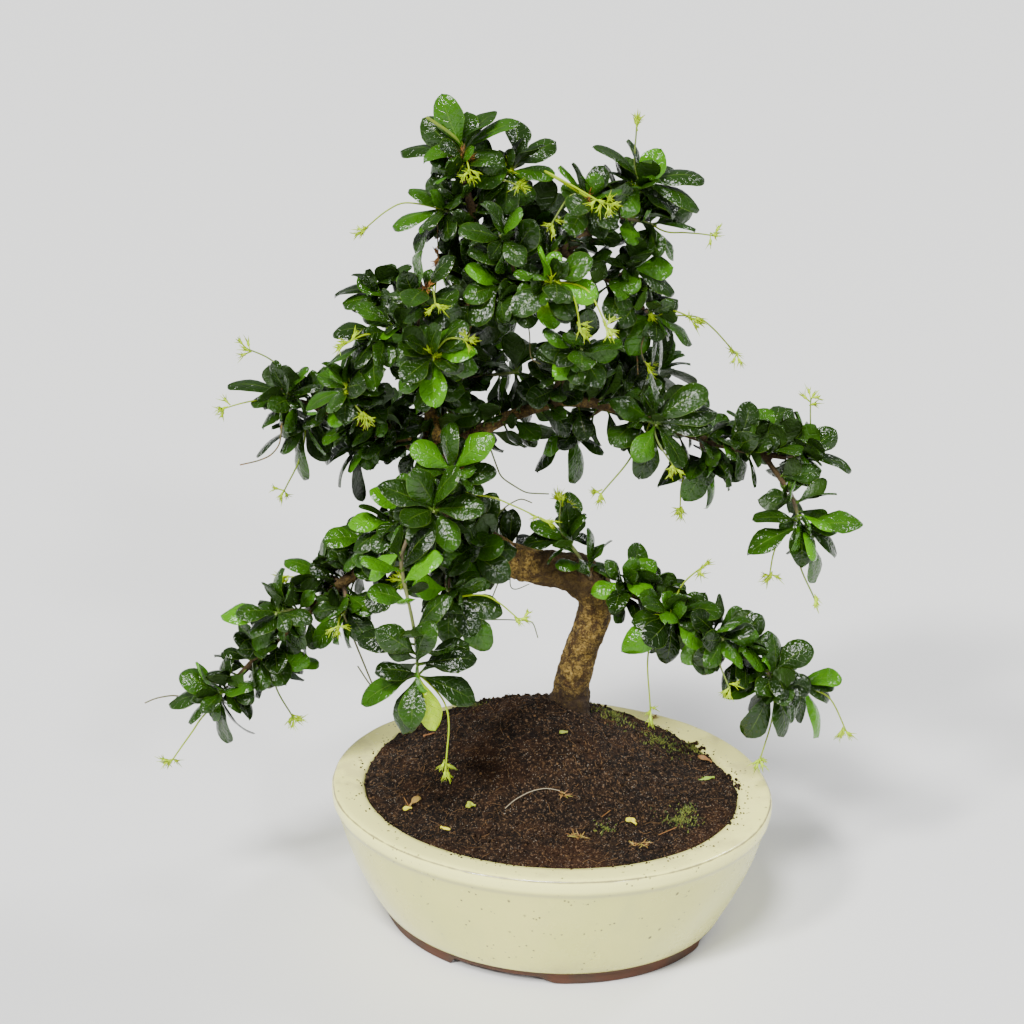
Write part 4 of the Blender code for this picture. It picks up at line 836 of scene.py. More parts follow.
def tube_loft(path, radii, around, tone=0.0, finish=LEAF_FINISH):
    """A tube as a skin of its own, with its place told along its length."""
    rings = tube_rings(path, radii, around)
    share = np.linspace(0, 1, len(rings))[:, None, None]
    place = np.broadcast_to(np.concatenate((share, share * 0, share * 0 + 1), axis=-1), rings.shape)
    return Loft(rings, place, tone, finish)


def eased_path(path, step):
    """The path cut into even steps, with its corners eased and its ends kept."""
    dense = [path[0]]
    for start, end in zip(path, path[1:]):
        cuts = max(1, round((end - start).length / step))
        dense += [start.lerp(end, cut / cuts) for cut in range(1, cuts + 1)]
    for _ in range(3):
        dense = [dense[0], *[(a + b * 2 + c) / 4 for a, b, c in zip(dense, dense[1:], dense[2:])], dense[-1]]
    return dense


# Leaf outline: share of length, share of half width
OUTLINE = ((0.0, 0.07), (0.1, 0.09), (0.18, 0.18), (0.29, 0.41), (0.41, 0.68), (0.53, 0.9), (0.65, 1.0),
           (0.76, 0.97), (0.86, 0.82), (0.935, 0.6), (0.98, 0.34), (1.0, 0.08))
ACROSS = (-1.0, -0.72, -0.38, 0.0, 0.38, 0.72, 1.0)
UNDER = (5, 3, 1)                    # the columns that the underside has too
BLADE_THICK = 0.34 * MM
PETIOLE_THICK = 0.9 * MM
STALK_BOW = 0.15                     # how far a flower stalk bows, as a share of its length
SEPALS = 7


def leaf_loft(leaf, chance, tone):
    """A fine blade on the plan of a leaf: obovate, creased at its rib, with edges that curl down."""
    # s runs from 0 at the base to 1 at the tip, v from -1 to 1 across the blade
    share, wide = (np.array(row) for row in zip(*OUTLINE))
    share = share ** chance.uniform(0.85, 1.1)
    across = leaf.along.cross(leaf.up)
    half = leaf.width / 2 * (0.94 if tone < 0.9 else 0.75)
    notch = chance.choice((0.0, 0.0, 0.0, 0.0, 0.04))
    wave = chance.uniform(0.03, 0.14) * half
    phase = chance.uniform(0, 2 * math.pi)
    skew = chance.uniform(-0.06, 0.06)
    droop = chance.uniform(0.0, 0.05)
    crease = chance.uniform(0.25, 0.6) * MM
    fold = half * chance.uniform(-0.12, 0.3)
    s = share[:, None]
    v = np.array(ACROSS)[None, :]
    near_tip = s ** 12
    s_full = s - near_tip * (0.015 * v ** 2 + notch * np.exp(-(v / 0.3) ** 2))
    swell = 1 + chance.uniform(0.0, 0.05) * np.sin(share * chance.uniform(12, 18) + phase)
    swell *= 1 - chance.uniform(0.0, 0.42) * np.clip((share - 0.58) / 0.42, 0, 1) ** 1.3
    spread = np.maximum(half * wide * swell, 0.42 * MM)[:, None]
    open_blade = np.clip((s - 0.1) / 0.25, 0, 1)
    drop = max(LEAF_THICK, half * leaf.curl)
    rise = (-drop * v ** 2 + fold * np.abs(v) + wave * np.sin(9 * s + phase + 1.5 * v) * np.abs(v) ** 3
            - crease * np.exp(-(v / 0.22) ** 2)) * open_blade
    lift = leaf.length * (leaf.arch * s_full * (1 - s_full) - droop * s_full ** 6)
    bend = leaf.length * skew * s_full ** 2
    thick = PETIOLE_THICK + (BLADE_THICK - PETIOLE_THICK) * np.clip(s / 0.3, 0, 1)
    thick = thick * np.where(np.abs(v) < 0.2, 1.5, 1.0)

    def skin(side, columns):
        up = (lift + rise)[:, columns] + side * thick[:, columns] / 2 * (1 - v[:, columns] ** 8)
        out = (spread * v + bend)[:, columns]
        far = (s_full * leaf.length + 0 * v)[:, columns]
        points = (np.array(leaf.base) + far[..., None] * np.array(leaf.along)
                  + out[..., None] * np.array(across) + up[..., None] * np.array(leaf.up))
        told = np.stack((s_full[:, columns] + 0 * out, (v + 0 * s)[:, columns], 0 * out + (side + 1) / 2),
                        axis=-1)
        return points, told

    top, top_place = skin(1, list(range(len(ACROSS))))
    under, under_place = skin(-1, list(UNDER))
    return Loft(np.concatenate((top, under), axis=1), np.concatenate((top_place, under_place), axis=1), tone)


def sepal_loft(base, way, length, chance, tone):
    """A narrow pointed sepal that bends outwards."""
    down = Vector([chance.uniform(-1, 1) for _ in range(3)]) * 0.3
    path = [base + way * length * share + down * length * share ** 2 for share in (0, 0.5, 1.0)]
    return tube_loft(path, [0.15 * MM, 0.22 * MM, 0.05 * MM], 4, tone, BUD_FINISH)


def bud_lofts(tip, way, chance, tone):
    """A cluster of green calyxes, each an open star of narrow sepals round a small bud."""
    lofts = []
    for _ in range(chance.choice((4, 5, 5, 6))):
        axis = (way + scatter(chance, 0.65)).normalized()
        foot = tip - way * chance.uniform(0.0, 4.0) * MM
        heart = foot + axis * chance.uniform(1.2, 3.6) * MM
        lofts.append(tube_loft([foot, heart], [0.3 * MM, 0.34 * MM], 4, tone, BUD_FINISH))
        lofts.append(tube_loft([heart + axis * rise * MM for rise in (-0.8, 0.0, 1.2, 2.2)],
                               [0.3 * MM, 0.72 * MM, 0.6 * MM, 0.12 * MM], 5, tone + 0.1, BUD_FINISH))
        spin = chance.uniform(0, 6)
        for index in range(SEPALS):
            out = square_to(axis, spin + index * 2 * math.pi / SEPALS + chance.uniform(-0.3, 0.3))
            spread = chance.uniform(0.2, 0.85)
            lofts.append(sepal_loft(heart, (axis + out * spread).normalized(), chance.uniform(2.6, 4.4) * MM,
                                    chance, tone + chance.uniform(-0.25, 0.1)))
    return lofts


# Bright leaves, by their place on the plan: x, z and tone. Each brightens the one leaf that is seen there.
BRIGHT = ((-45, 358, 0.34), (-5, 270, 0.8), (-19, 289, 0.62), (-3, 290, 0.75), (-53, 205, 0.5),
          (-33, 210, 0.44), (114, 167, 0.68), (124, 178, 0.55), (124, 76, 0.72), (-50, 86, 1.0),
          (-56, 155, 0.72), (-71, 156, 0.7), (-62, 138, 0.62), (-82, 174, 0.62), (-140, 131, 0.6),
          (-158, 104, 0.55), (-118, 108, 0.5), (18, 142, 0.62), (42, 93, 0.55), (100, 104, 0.52),
          (-1, 244, 0.66), (17, 277, 0.72), (-50, 236, 0.55), (-30, 286, 0.55), (39, 304, 0.55),
          (44, 287, 0.66), (45, 334, 0.5), (-63, 104, 0.45), (-65, 145, 0.66), (-51, 148, 0.58),
          (-35, 256, 0.55), (47, 125, 0.5), (64, 115, 0.45), (92, 209, 0.5), (66, 188, 0.5),
          (-3, 218, 0.55), (-75, 186, 0.5), (-85, 205, 0.45), (5, 300, 0.5), (-70, 262, 0.45),
          (-95, 225, 0.5))
BRIGHT_REACH = 18.0                 # in mm on the plan

# Flower clusters that sit among the leaves without a long stalk: x and z on the plan, and tone
BLOSSOMS = ((-43, 334, 0.9), (-37, 336, 0.16), (-17, 328, 0.85), (-13, 325, 0.75), (38, 321, 0.8),
            (16, 325, 0.16), (-17, 202, 0.15), (-108, 233, 0.16), (32, 275, 0.9), (38, 268, 0.8),
            (6, 229, 0.7), (10, 277, 0.9), (-79, 306, 0.16), (-65, 248, 0.8), (-90, 240, 0.75),
            (-30, 232, 0.7), (-56, 150, 0.95), (70, 140, 0.8))

# Old bare stalks and side stems: points x, depth and z on the plan, radius in mm, tone and the tone of
# the flowers at the end, if any
OLD_STALKS = (
    (((-17.9, 32, 149), (-17.9, 27, 142.9), (-15.2, 27, 142.4), (-9.3, 32, 145.3)), 0.28, 0.36, None),
    (((-30, 26, 128), (-19, 22, 128), (-7.5, 20, 127.3), (-5.2, 20, 119)), 0.3, 0.4, None),
    (((-22, 26, 196), (-16.6, 24, 192.3), (-10.8, 24, 188.6), (-0.6, 24, 188.2)), 0.35, 0.36, None),
    (((5.7, 30, 166), (7, 29, 173), (6, 28, 179), (4.3, 28, 184.4)), 0.3, 0.45, 0.75),
    (((-19, 28, 183), (-13, 28, 186.3), (-8.1, 28, 184)), 0.35, 0.34, None),
    (((-163.2, 8, 88.1), (-172.3, 6, 90.6), (-181, 4, 89), (-186, 3, 86.5)), 0.4, 0.3, None),
    (((-119, 12, 211), (-123, 10, 206), (-129, 8, 203.5), (-137, 6, 201.7)), 0.35, 0.28, None),
    (((-80, 10, 93), (-83, 8, 97.1), (-87.5, 6, 105)), 0.4, 0.32, None),
    (((-48.5, 34, 309), (-48.5, 34, 300), (-48.2, 34, 292.4)), 0.32, 0.26, 0.12),
    (((-42.2, 34, 309), (-42.6, 34, 302), (-44.1, 34, 291)), 0.32, 0.26, None),
    (((37, 30, 256), (37.2, 30, 250), (37.6, 30, 243)), 0.35, 0.28, None),
    (((38.5, 26, 256), (39.5, 26, 250), (41.9, 26, 246)), 0.3, 0.3, 0.7),
    (((-9.4, 0, 262), (-9.2, -1, 254), (-8.9, -2, 249.5), (-4.7, -2, 247.7)), 0.3, 0.3, None),
    (((-4, 14, 331.5), (-1.5, 8, 330.4), (8, 3, 325.3), (21.3, 2, 317.5)), 0.45, 0.72, 0.9),
    (((-38, 34, 343), (-44, 32, 348), (-52.5, 30, 353.6)), 0.7, 0.5, None),
    (((-49, 6, 286), (-50, 2, 280), (-50, 0, 274)), 0.35, 0.7, 0.9))


def on_plan(point):
    """Where a point is seen on the tree's plan, in millimetres."""
    spot = point / MM
    reach = (PLANE_Y - EYE.y) / (spot.y - EYE.y)
    return EYE.x + (spot.x - EYE.x) * reach, EYE.z + (spot.z - EYE.z) * reach


def bright_leaves(leaves):
    """The tone of each leaf that is seen at a bright place and looks to the front."""
    tones = {}
    seen = [(leaf, on_plan(leaf.base + leaf.along * leaf.length * 0.6)) for leaf in leaves
            if leaf.base.y < BACK_Y and leaf.up.y < 0.25]
    for x, z, tone in BRIGHT:
        ranked = sorted((math.hypot(x - at[0], z - at[1]) + leaf.base.y / MM * 0.12, index)
                        for index, (leaf, at) in enumerate(seen) if id(leaf) not in tones)
        if ranked and ranked[0][0] < BRIGHT_REACH:
            tones[id(seen[ranked[0][1]][0])] = tone
    return tones


def blossom_leaves(leaves):
    """The front leaf that each cluster of BLOSSOMS sits beside."""
    seen = [(leaf, on_plan(leaf.base)) for leaf in leaves if leaf.base.y < BACK_Y]
    chosen = {}
    for x, z, tone in BLOSSOMS:
        near, _ = min(seen, key=lambda entry: math.hypot(x - entry[1][0], z - entry[1][1])
                      + entry[0].base.y / MM * 0.25)
        chosen[id(near)] = tone
    return chosen


def stalk_lofts(seed, stems):
    """The old stalks and side stems of OLD_STALKS. Each grows out of the nearest stem."""
    chance = random.Random(seed)
    lofts = []
    for points, radius, tone, end in OLD_STALKS:
        path = [plan(*point) for point in points]
        root = min((spot for stem in stems for spot in stem), key=lambda spot: (spot - path[0]).length)
        line = eased_path([root, root.lerp(path[0], 0.6), *path], 1.5 * MM)
        radii = [radius * MM * (1.15 - 0.3 * index / len(line)) for index in range(len(line))]
        lofts.append(tube_loft(line, radii, 6, tone, BUD_FINISH))
        if end is not None:
            lofts += bud_lofts(line[-1], (line[-1] - line[-2]).normalized(), chance, end)
    return lofts


def leaf_tone(leaf, order, chance, bright):
    """How young a leaf is, from 0 for old and dark to 1 for yellow-green."""
    young = 0.22 * chance.random() if order == 0 else 0.0
    return bright.get(id(leaf), min(0.55, max(0.0, chance.gauss(0.16, 0.1) + young)))


# Shader graphs


class Graph:
    """A node tree with short ways to add and join its nodes."""

    def __init__(self, tree):
        self.tree = tree

    def add(self, kind, inputs=(), **settings):
        """A new node with its settings, and its sockets fed by number or name."""
        node = self.tree.nodes.new("ShaderNode" + kind)
        for name, value in settings.items():
            setattr(node, name, value)
        for socket, value in dict(inputs).items():
            self.feed(node, socket, value)
        return node

    def feed(self, node, socket, value):
        """Sets a socket, given by name or number, or joins an output to it."""
        target = node.inputs[socket]
        if isinstance(value, bpy.types.NodeSocket):
            self.tree.links.new(value, target)
        elif hasattr(target.default_value, "__len__") and len(target.default_value) == 4:
            target.default_value = (*value[:3], 1.0)
        else:
            target.default_value = value

    def math(self, operation, *values, clamp=False):
        return self.add("Math", enumerate(values), operation=operation, use_clamp=clamp).outputs[0]

    def plus(self, first, second):
        return self.math("ADD", first, second)

    def minus(self, first, second):
        return self.math("SUBTRACT", first, second)

    def times(self, first, second):
        return self.math("MULTIPLY", first, second)

    def total(self, *rows):
        """The sum of some fields, each given with its weight."""
        whole, *others = [self.times(field, weight) for field, weight in rows]
        for weighted in others:
            whole = self.plus(whole, weighted)
        return whole

    def stray(self, field, amount):
        """A field of 0 to 1 made to swing about zero."""
        return self.times(self.minus(field, 0.5), amount)

    def span(self, value, low, high, to_low=0.0, to_high=1.0):
        """A smooth step from one value to another while the field goes from low to high."""
        return self.add("MapRange", enumerate((value, low, high, to_low, to_high)),
                        interpolation_type="SMOOTHSTEP").outputs[0]

    def fade(self, value, low, high):
        return self.span(value, low, high, 1.0, 0.0)

    def mix(self, share, first, second):
        return self.add("Mix", {0: share, 6: first, 7: second}, data_type="RGBA").outputs[2]

    def tint(self, colour, mask, strength, other):
        """The colour with another laid over it where the mask is, at some strength."""
        return self.mix(self.times(mask, strength), colour, other)

    def ramp(self, share, stops):
        node = self.add("ValToRGB", {0: share})
        elements = node.color_ramp.elements
        while len(elements) < len(stops):
            elements.new(0.5)
        for element, (position, colour) in zip(elements, stops):
            element.position = position
            element.color = (*colour, 1.0)
        return node.outputs[0]

    def stretch(self, vector, scale):
        return self.add("Mapping", {0: vector, "Scale": scale}).outputs[0]

    def noise(self, vector, scale, detail=4.0, roughness=0.55, distortion=0.0):
        return self.add("TexNoise", {"Vector": vector, "Scale": scale, "Detail": detail,
                                     "Roughness": roughness, "Distortion": distortion}).outputs[0]

    def cells(self, vector, scale, feature="F1"):
        return self.add("TexVoronoi", {"Vector": vector, "Scale": scale}, feature=feature).outputs[0]

    def attribute(self, name, output="Fac"):
        return self.add("Attribute", attribute_name=name).outputs[output]

    def spot(self):
        return self.add("TexCoord").outputs["Object"]

    def parts(self, vector):
        return self.add("SeparateXYZ", {0: vector}).outputs

    def away(self, vector, point):
        return self.add("VectorMath", {0: vector, 1: point}, operation="DISTANCE").outputs["Value"]

    def bump(self, height, distance, strength=1.0):
        return self.add("Bump", {"Height": height, "Distance": distance, "Strength": strength}).outputs[0]

    def mottle(self, vector, scale, share, first, second, softness=0.12):
        """Patches of a second colour on the first, from the shared group. Gives Color and Mask."""
        tree = bpy.data.node_groups.get("Mottle") or mottle_group()
        return self.add("Group", {"Vector": vector, "Scale": scale, "Share": share, "Softness": softness,
                                  "First": first, "Second": second}, node_tree=tree).outputs

    def pits(self, vector, scale, size, share):
        """Small pits from the shared group. Gives Mask and Height."""
        tree = bpy.data.node_groups.get("Pits") or pits_group()
        return self.add("Group", {"Vector": vector, "Scale": scale, "Size": size, "Share": share},
                        node_tree=tree).outputs


def new_material(name):
    """A new material, its graph and its shader."""
    made = bpy.data.materials.new(name)
    made.use_nodes = True
    return made, Graph(made.node_tree), made.node_tree.nodes["Principled BSDF"]


def group_tree(name, inputs, outputs):
    """An empty node group with the named sockets. Each input is a name, a kind and a default."""
    tree = bpy.data.node_groups.new(name, "ShaderNodeTree")
    for label, kind, value in inputs:
        socket = tree.interface.new_socket(label, in_out="INPUT", socket_type="NodeSocket" + kind)
        if value is not None:
            socket.default_value = value
    for label, kind in outputs:
        tree.interface.new_socket(label, in_out="OUTPUT", socket_type="NodeSocket" + kind)
    return tree, Graph(tree), tree.nodes.new("NodeGroupInput").outputs, tree.nodes.new("NodeGroupOutput")


def mottle_group():
    """Patches of a second colour with a broken edge, for stems, bark, glaze, screens and soil."""
    tree, graph, come, go = group_tree(
        "Mottle", (("Vector", "Vector", None), ("Scale", "Float", 60.0), ("Share", "Float", 0.5),
                   ("Softness", "Float", 0.12), ("First", "Color", (0.5, 0.5, 0.5, 1)),
                   ("Second", "Color", (0.2, 0.2, 0.2, 1))), (("Color", "Color"), ("Mask", "Float")))
    field = graph.noise(come["Vector"], come["Scale"], 6.0, 0.62, 0.4)
    low = graph.minus(come["Share"], come["Softness"])
    high = graph.plus(come["Share"], come["Softness"])
    mask = graph.span(field, low, high)
    graph.feed(go, "Mask", mask)
    graph.feed(go, "Color", graph.mix(mask, come["First"], come["Second"]))
    return tree


def pits_group():
    """Small round pits or specks, scattered unevenly: used by the glaze and the soil."""
    tree, graph, come, go = group_tree(
        "Pits", (("Vector", "Vector", None), ("Scale", "Float", 220.0), ("Size", "Float", 0.2),
                 ("Share", "Float", 0.5)), (("Mask", "Float"), ("Height", "Float")))
    near = graph.cells(come["Vector"], come["Scale"])
    patch = graph.noise(come["Vector"], graph.times(come["Scale"], 0.31), 2.0)
    hole = graph.fade(near, graph.times(come["Size"], 0.5), come["Size"])
    mask = graph.times(hole, graph.span(patch, come["Share"], graph.plus(come["Share"], 0.06)))
    graph.feed(go, "Mask", mask)
    graph.feed(go, "Height", graph.minus(1.0, mask))
    return tree


# Fine colours that no setting changes
# the rib's green also serves as the painted highlight along leaf edges
RIB_GREEN_AND_EDGE_HIGHLIGHT = (0.30, 0.50, 0.06)
PETIOLE_GREEN = (0.12, 0.22, 0.02)
GRAIN_DARK = (0.06, 0.033, 0.014)
# light grain flecks, partly painted highlights on the bark
GRAIN_LIGHT_AND_HIGHLIGHT = (0.58, 0.41, 0.13)
WRINKLE_DARK = (0.035, 0.018, 0.008)
CRACK_DARK = (0.03, 0.016, 0.008)
# painted shade on the bark at the elbow
ELBOW_SHADE = (0.055, 0.032, 0.012)
SOILED_BARK = (0.028, 0.016, 0.010)
GLAZE_STREAK = (0.50, 0.52, 0.20)
# painted shade under the pot's lip
LIP_SHADOW_GREY = (0.36, 0.33, 0.22)
WORN_LIP = (0.15, 0.12, 0.08)
PIT_BROWN = (0.045, 0.03, 0.016)
GRIME = (0.20, 0.14, 0.08)
RIM_SMEAR = (0.34, 0.27, 0.17)
DARK_CLAY = (0.045, 0.020, 0.010)
GRIT_WHITE = (0.40, 0.34, 0.26)
CRUMB_BROWN = (0.22, 0.12, 0.05)
FIBRE_PALE = (0.34, 0.29, 0.19)


def finish_with(graph, shader, colour, roughness, normal=None, specular=0.5):
    """Feeds the shader of a material."""
    graph.feed(shader, "Base Color", colour)
    graph.feed(shader, "Roughness", roughness)
    graph.feed(shader, "Specular IOR Level", specular)
    if normal is not None:
        graph.feed(shader, "Normal", normal)


def leaf_material(settings):
    """Glossy leathery leaf: deep green by its age, paler rib and underside, a painted highlight along the
    edge, pebbled blade.
    """
    made, graph, shader = new_material("leaf_surface")
    spot = graph.spot()
    along, across, top = graph.parts(graph.attribute("place", "Vector"))
    shade = graph.plus(graph.attribute("tone"), graph.stray(graph.noise(spot, 95.0, 3.0), 0.3))
    face = graph.ramp(shade, ((0.0, [share * 0.35 for share in settings.dark]), (0.2, settings.dark),
                              (0.5, settings.green), (0.8, settings.young), (1.0, settings.yellow)))
    away = graph.math("ABSOLUTE", across)
    rib = graph.times(graph.fade(away, 0.0, 0.07), graph.fade(along, 0.6, 1.0))
    swing = graph.minus(graph.times(along, 6.5), graph.times(away, 1.25))
    ridge = graph.math("ABSOLUTE", graph.minus(graph.math("FRACT", swing), 0.5))
    vein = graph.times(graph.fade(ridge, 0.0, 0.1), graph.fade(away, 0.75, 0.95))
    pale = graph.mix(0.35, face, RIB_GREEN_AND_EDGE_HIGHLIGHT)
    upper = graph.tint(face, rib, 0.35, pale)
    upper = graph.tint(upper, vein, 0.08, pale)
    # Painted highlight: the blade's edge is paled toward the rib's green.
    upper = graph.tint(upper, graph.span(away, 0.92, 1.0), 0.35, pale)
    below = graph.mix(0.3, face, settings.under)
    colour = graph.mix(graph.span(top, 0.35, 0.65), below, upper)
    colour = graph.tint(colour, graph.fade(along, 0.06, 0.16), 0.6, PETIOLE_GREEN)
    height = graph.total((graph.cells(spot, 820.0), 0.7), (graph.noise(spot, 1300.0, 3.0, 0.65), 0.4),
                         (graph.cells(spot, 330.0, "SMOOTH_F1"), 1.7), (vein, -0.5))
    roughness = graph.plus(graph.span(top, 0.35, 0.65, 0.34, 0.05),
                           graph.times(graph.noise(spot, 260.0, 3.0), 0.11))
    normal = graph.bump(height, 0.32 * MM, settings.pebble)
    finish_with(graph, shader, colour, roughness, normal, specular=0.32)
    return made


def stem_material():
    """Young stem: green and downy at the tip, browner and cracked toward its foot."""
    made, graph, shader = new_material("young_stem")
    spot = graph.spot()
    wood = graph.mottle(spot, 420.0, 0.5, (0.14, 0.09, 0.04), (0.05, 0.03, 0.018))["Color"]
    green = graph.mix(graph.noise(spot, 500.0), (0.10, 0.16, 0.03), (0.24, 0.27, 0.07))
    along = graph.parts(graph.attribute("place", "Vector"))[0]
    colour = graph.mix(graph.span(along, 0.25, 0.8), wood, green)
    height = graph.noise(graph.stretch(spot, (1.0, 1.0, 2.5)), 1400.0, 3.0)
    finish_with(graph, shader, colour, 0.62, graph.bump(height, 0.12 * MM, 0.7))
    return made


def bud_material(settings):
    """Flower stalk and calyx: fresh yellow-green, with brown ones where the tone is low."""
    made, graph, shader = new_material("bud_green")
    spot = graph.spot()
    field = graph.plus(graph.attribute("tone"), graph.stray(graph.noise(spot, 700.0), 0.3))
    colour = graph.ramp(field, ((0.0, (0.07, 0.03, 0.012)), (0.16, (0.52, 0.20, 0.045)),
                                (0.28, (0.09, 0.075, 0.03)), (0.42, (0.12, 0.17, 0.04)),
                                (0.65, [share * 0.6 for share in settings.bud]), (1.0, settings.bud)))
    normal = graph.bump(graph.noise(spot, 2200.0, 2.0), 0.1 * MM, 0.5)
    finish_with(graph, shader, colour, 0.5, normal, specular=0.25)
    graph.feed(shader, "Subsurface Weight", 0.1)
    graph.feed(shader, "Subsurface Scale", 1.0 * MM)
    return made


def build_piece(name, mesh, materials, slot, *nodes):
    """Stands a mesh at the pot's place as a piece of the object, in the stead of the named nodes."""
    piece = bpy.data.objects.new(name, mesh)
    bpy.context.scene.collection.objects.link(piece)
    piece.location = POT_AT
    for entry in materials:
        piece.data.materials.append(entry)
    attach(piece, "root")
    if nodes:
        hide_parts(*nodes)
    return piece


def modified_mesh(piece):
    """The piece's mesh with its modifiers in it. The piece then has none."""
    bpy.context.view_layer.update()
    made = bpy.data.meshes.new_from_object(piece.evaluated_get(bpy.context.evaluated_depsgraph_get()))
    piece.modifiers.clear()
    return made


def build_sprays(settings):
    """One piece for each packed shoot: its stem, planned and further leaves, stalks and buds."""
    wood = wood_paths()
    room, stems, leaves, stalks = grow_planned_leaves(wood)
    finishes = [leaf_material(settings), stem_material(), bud_material(settings)]
    for shoot in SHOOTS:
        leaves[shoot.name] += further_leaves(shoot, stems[shoot.name], room,
                                             round(settings.further * settings.fullness))
    spurs = {name: spur_leaves(name, path, radii, room) for name, (path, radii) in wood.items()}
    every = [leaf for grown in leaves.values() for leaf in grown]
    bright, blossoms = bright_leaves(every), blossom_leaves(every)
    for shoot in SHOOTS:
        line = eased_path(stems[shoot.name], 2.2 * MM)
        swell = random.Random(shoot.name + " swell")
        radii = [STEM_RADIUS * (1.15 - 0.4 * index / (len(line) - 1)) * swell.uniform(0.88, 1.14)
                 for index in range(len(line))]
        lofts = [tube_loft(line, radii, 8, 0.3, STEM_FINISH)]
        for order, leaf in enumerate(leaves[shoot.name]):
            chance = random.Random(f"{shoot.name} blade {order}")
            lofts.append(leaf_loft(leaf, chance, leaf_tone(leaf, order, chance, bright)))
            if id(leaf) in blossoms:
                way = (leaf.up + leaf.along + Vector((0, -0.5, 0))).normalized()
                lofts += bud_lofts(leaf.base + way * 2.5 * MM, way, chance, blossoms[id(leaf)])
        for order, (stalk, beyond) in enumerate(stalks[shoot.name]):
            lofts += flower_lofts(shoot.name, order, stalk, beyond)
        build_piece("spray_" + shoot.name, lofted_mesh("spray_" + shoot.name, lofts), finishes, "leaf",
                    "shoot_" + shoot.name)
    lofts = []
    for name, grown in spurs.items():
        for order, leaf in enumerate(grown):
            chance = random.Random(f"{name} spur blade {order}")
            lofts.append(leaf_loft(leaf, chance, max(0.0, chance.gauss(0.1, 0.08))))
    build_piece("spur_leaves", lofted_mesh("spur_leaves", lofts), finishes, "leaf")
    grown = [eased_path(path, 3 * MM) for path in (*stems.values(), *(path for path, radii in wood.values()))]
    build_piece("old_stalks", lofted_mesh("old_stalks", stalk_lofts("old stalks", grown)), finishes, "leaf")


def flower_lofts(owner, order, stalk, beyond):
    """A bowed flower stalk with its cluster of buds. The tone of both is drawn from the stalk's name."""
    chance = random.Random(f"{owner} flower {order}")
    tone = chance.choice((0.9, 0.85, 0.95, 0.78))
    line = eased_path(stalk + [stalk[-1].lerp(beyond, 0.3)], 1.8 * MM)
    run = line[-1] - line[0]
    sway = Vector((chance.gauss(0, 0.4), chance.choice((-1.0, 1.0)), chance.gauss(0, 0.4)))
    bow = run.cross(sway).normalized() * run.length * STALK_BOW * chance.uniform(0.4, 1.2)
    shares = [index / (len(line) - 1) for index in range(len(line))]
    line = [spot + bow * math.sin(math.pi * share) * (1.4 - share) for spot, share in zip(line, shares)]
    stalk_tone = chance.choice((0.75, 0.62, 0.52, 0.45))
    radii = [STALK_RADIUS * (1.0 - 0.25 * share) for share in shares]
    way = (beyond - stalk[-1]).normalized()
    return [tube_loft(line, radii, 6, stalk_tone, BUD_FINISH), *bud_lofts(line[-1], way, chance, tone)]


# Bark
LUMP_SEED = 11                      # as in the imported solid, whose trunk has the same lumps
LUMPS_FROM_Z = 92.0 * MM
CRACK_SEED = 4                      # without it the cracks' warp changes from run to run
ROOT_FLARE = 0.16
FLARE_REACH = 7 * MM
SOIL_TOP_Z = 84.0 * MM
BARK_VOXEL = 0.78 * MM
BARK_PLATE = Vector((6.5, 6.5, 4.2)) * MM
CRACK_WIDTH = 0.2                   # as a share of a plate
WRINKLE_PITCH = (4.0, 4.0, 1.1)     # in mm, close together along the wood
GRAIN_PITCH = 1.6 * MM
LUMP_PITCH = 8.5 * MM
LUMP_DEPTH, CRACK_DEPTH, WRINKLE_DEPTH, GRAIN_DEPTH = 0.85, 0.2, 0.2, 0.14      # in mm
THICK_WOOD = 7.5 * MM               # the radius from which the relief has its full depth
THIN_RELIEF = 0.12                  # the share of the depth that the thinnest wood has
TRUNK_SIDES = 28
BRANCH_SIDES = 12
GUIDE_SHIFT = 0.0017                # keeps the grain of one branch from that of the next
ELBOW_SHADE_AT = plan(9, 26, 153)            # where the bark has painted shade, where the limb leaves the trunk
# Healed stubs and leaf scars on the trunk: distance share, turn in degrees, width and height in mm
KNOTS = ((0.055, 200, 3.2, 1.4), (0.10, 70, 2.8, 1.6), (0.135, 290, 3.6, 2.0), (0.19, 330, 3.0, 1.8),
         (0.215, 120, 2.6, 1.4), (0.26, 250, 3.4, 2.2), (0.30, 80, 2.6, 1.5), (0.345, 300, 3.2, 1.8),
         (0.52, 220, 2.4, 1.4))
KNOT_SUNK = 2 * MM


def bark_paths():
    """The wood's middle lines with fine steps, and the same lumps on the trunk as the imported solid."""
    lumps = random.Random(LUMP_SEED)
    fine = {}
    for name, (path, radii) in wood_paths().items():
        rough = [radius * lumps.uniform(0.96, 1.05) if name == "trunk" and spot.z > LUMPS_FROM_Z else radius
                 for spot, radius in zip(path, radii)]
        fine[name] = smooth_path([Vector((*spot, radius)) for spot, radius in zip(path, rough)], 5)
    for knot in fine["trunk"]:
        knot.w *= 1 + ROOT_FLARE * math.exp(-max(0.0, knot.z - SOIL_TOP_Z) / FLARE_REACH)
    return fine


def bark_guides(fine):
    """Samples along all the wood: where they are, their frame, distance and radius."""
    guides = []
    for line in fine.values():
        path, ahead, sides, ups = ring_frames([knot.xyz for knot in line])
        travelled = np.concatenate(([0.0], np.cumsum(np.linalg.norm(np.diff(path, axis=0), axis=1))))
        offset = len(guides) * GUIDE_SHIFT
        for index, knot in enumerate(line):
            spot, side, up, way = (Vector(row[index]) for row in (path, sides, ups, ahead))
            guides.append((spot, side, up, way, travelled[index] + offset, knot.w))
    return guides


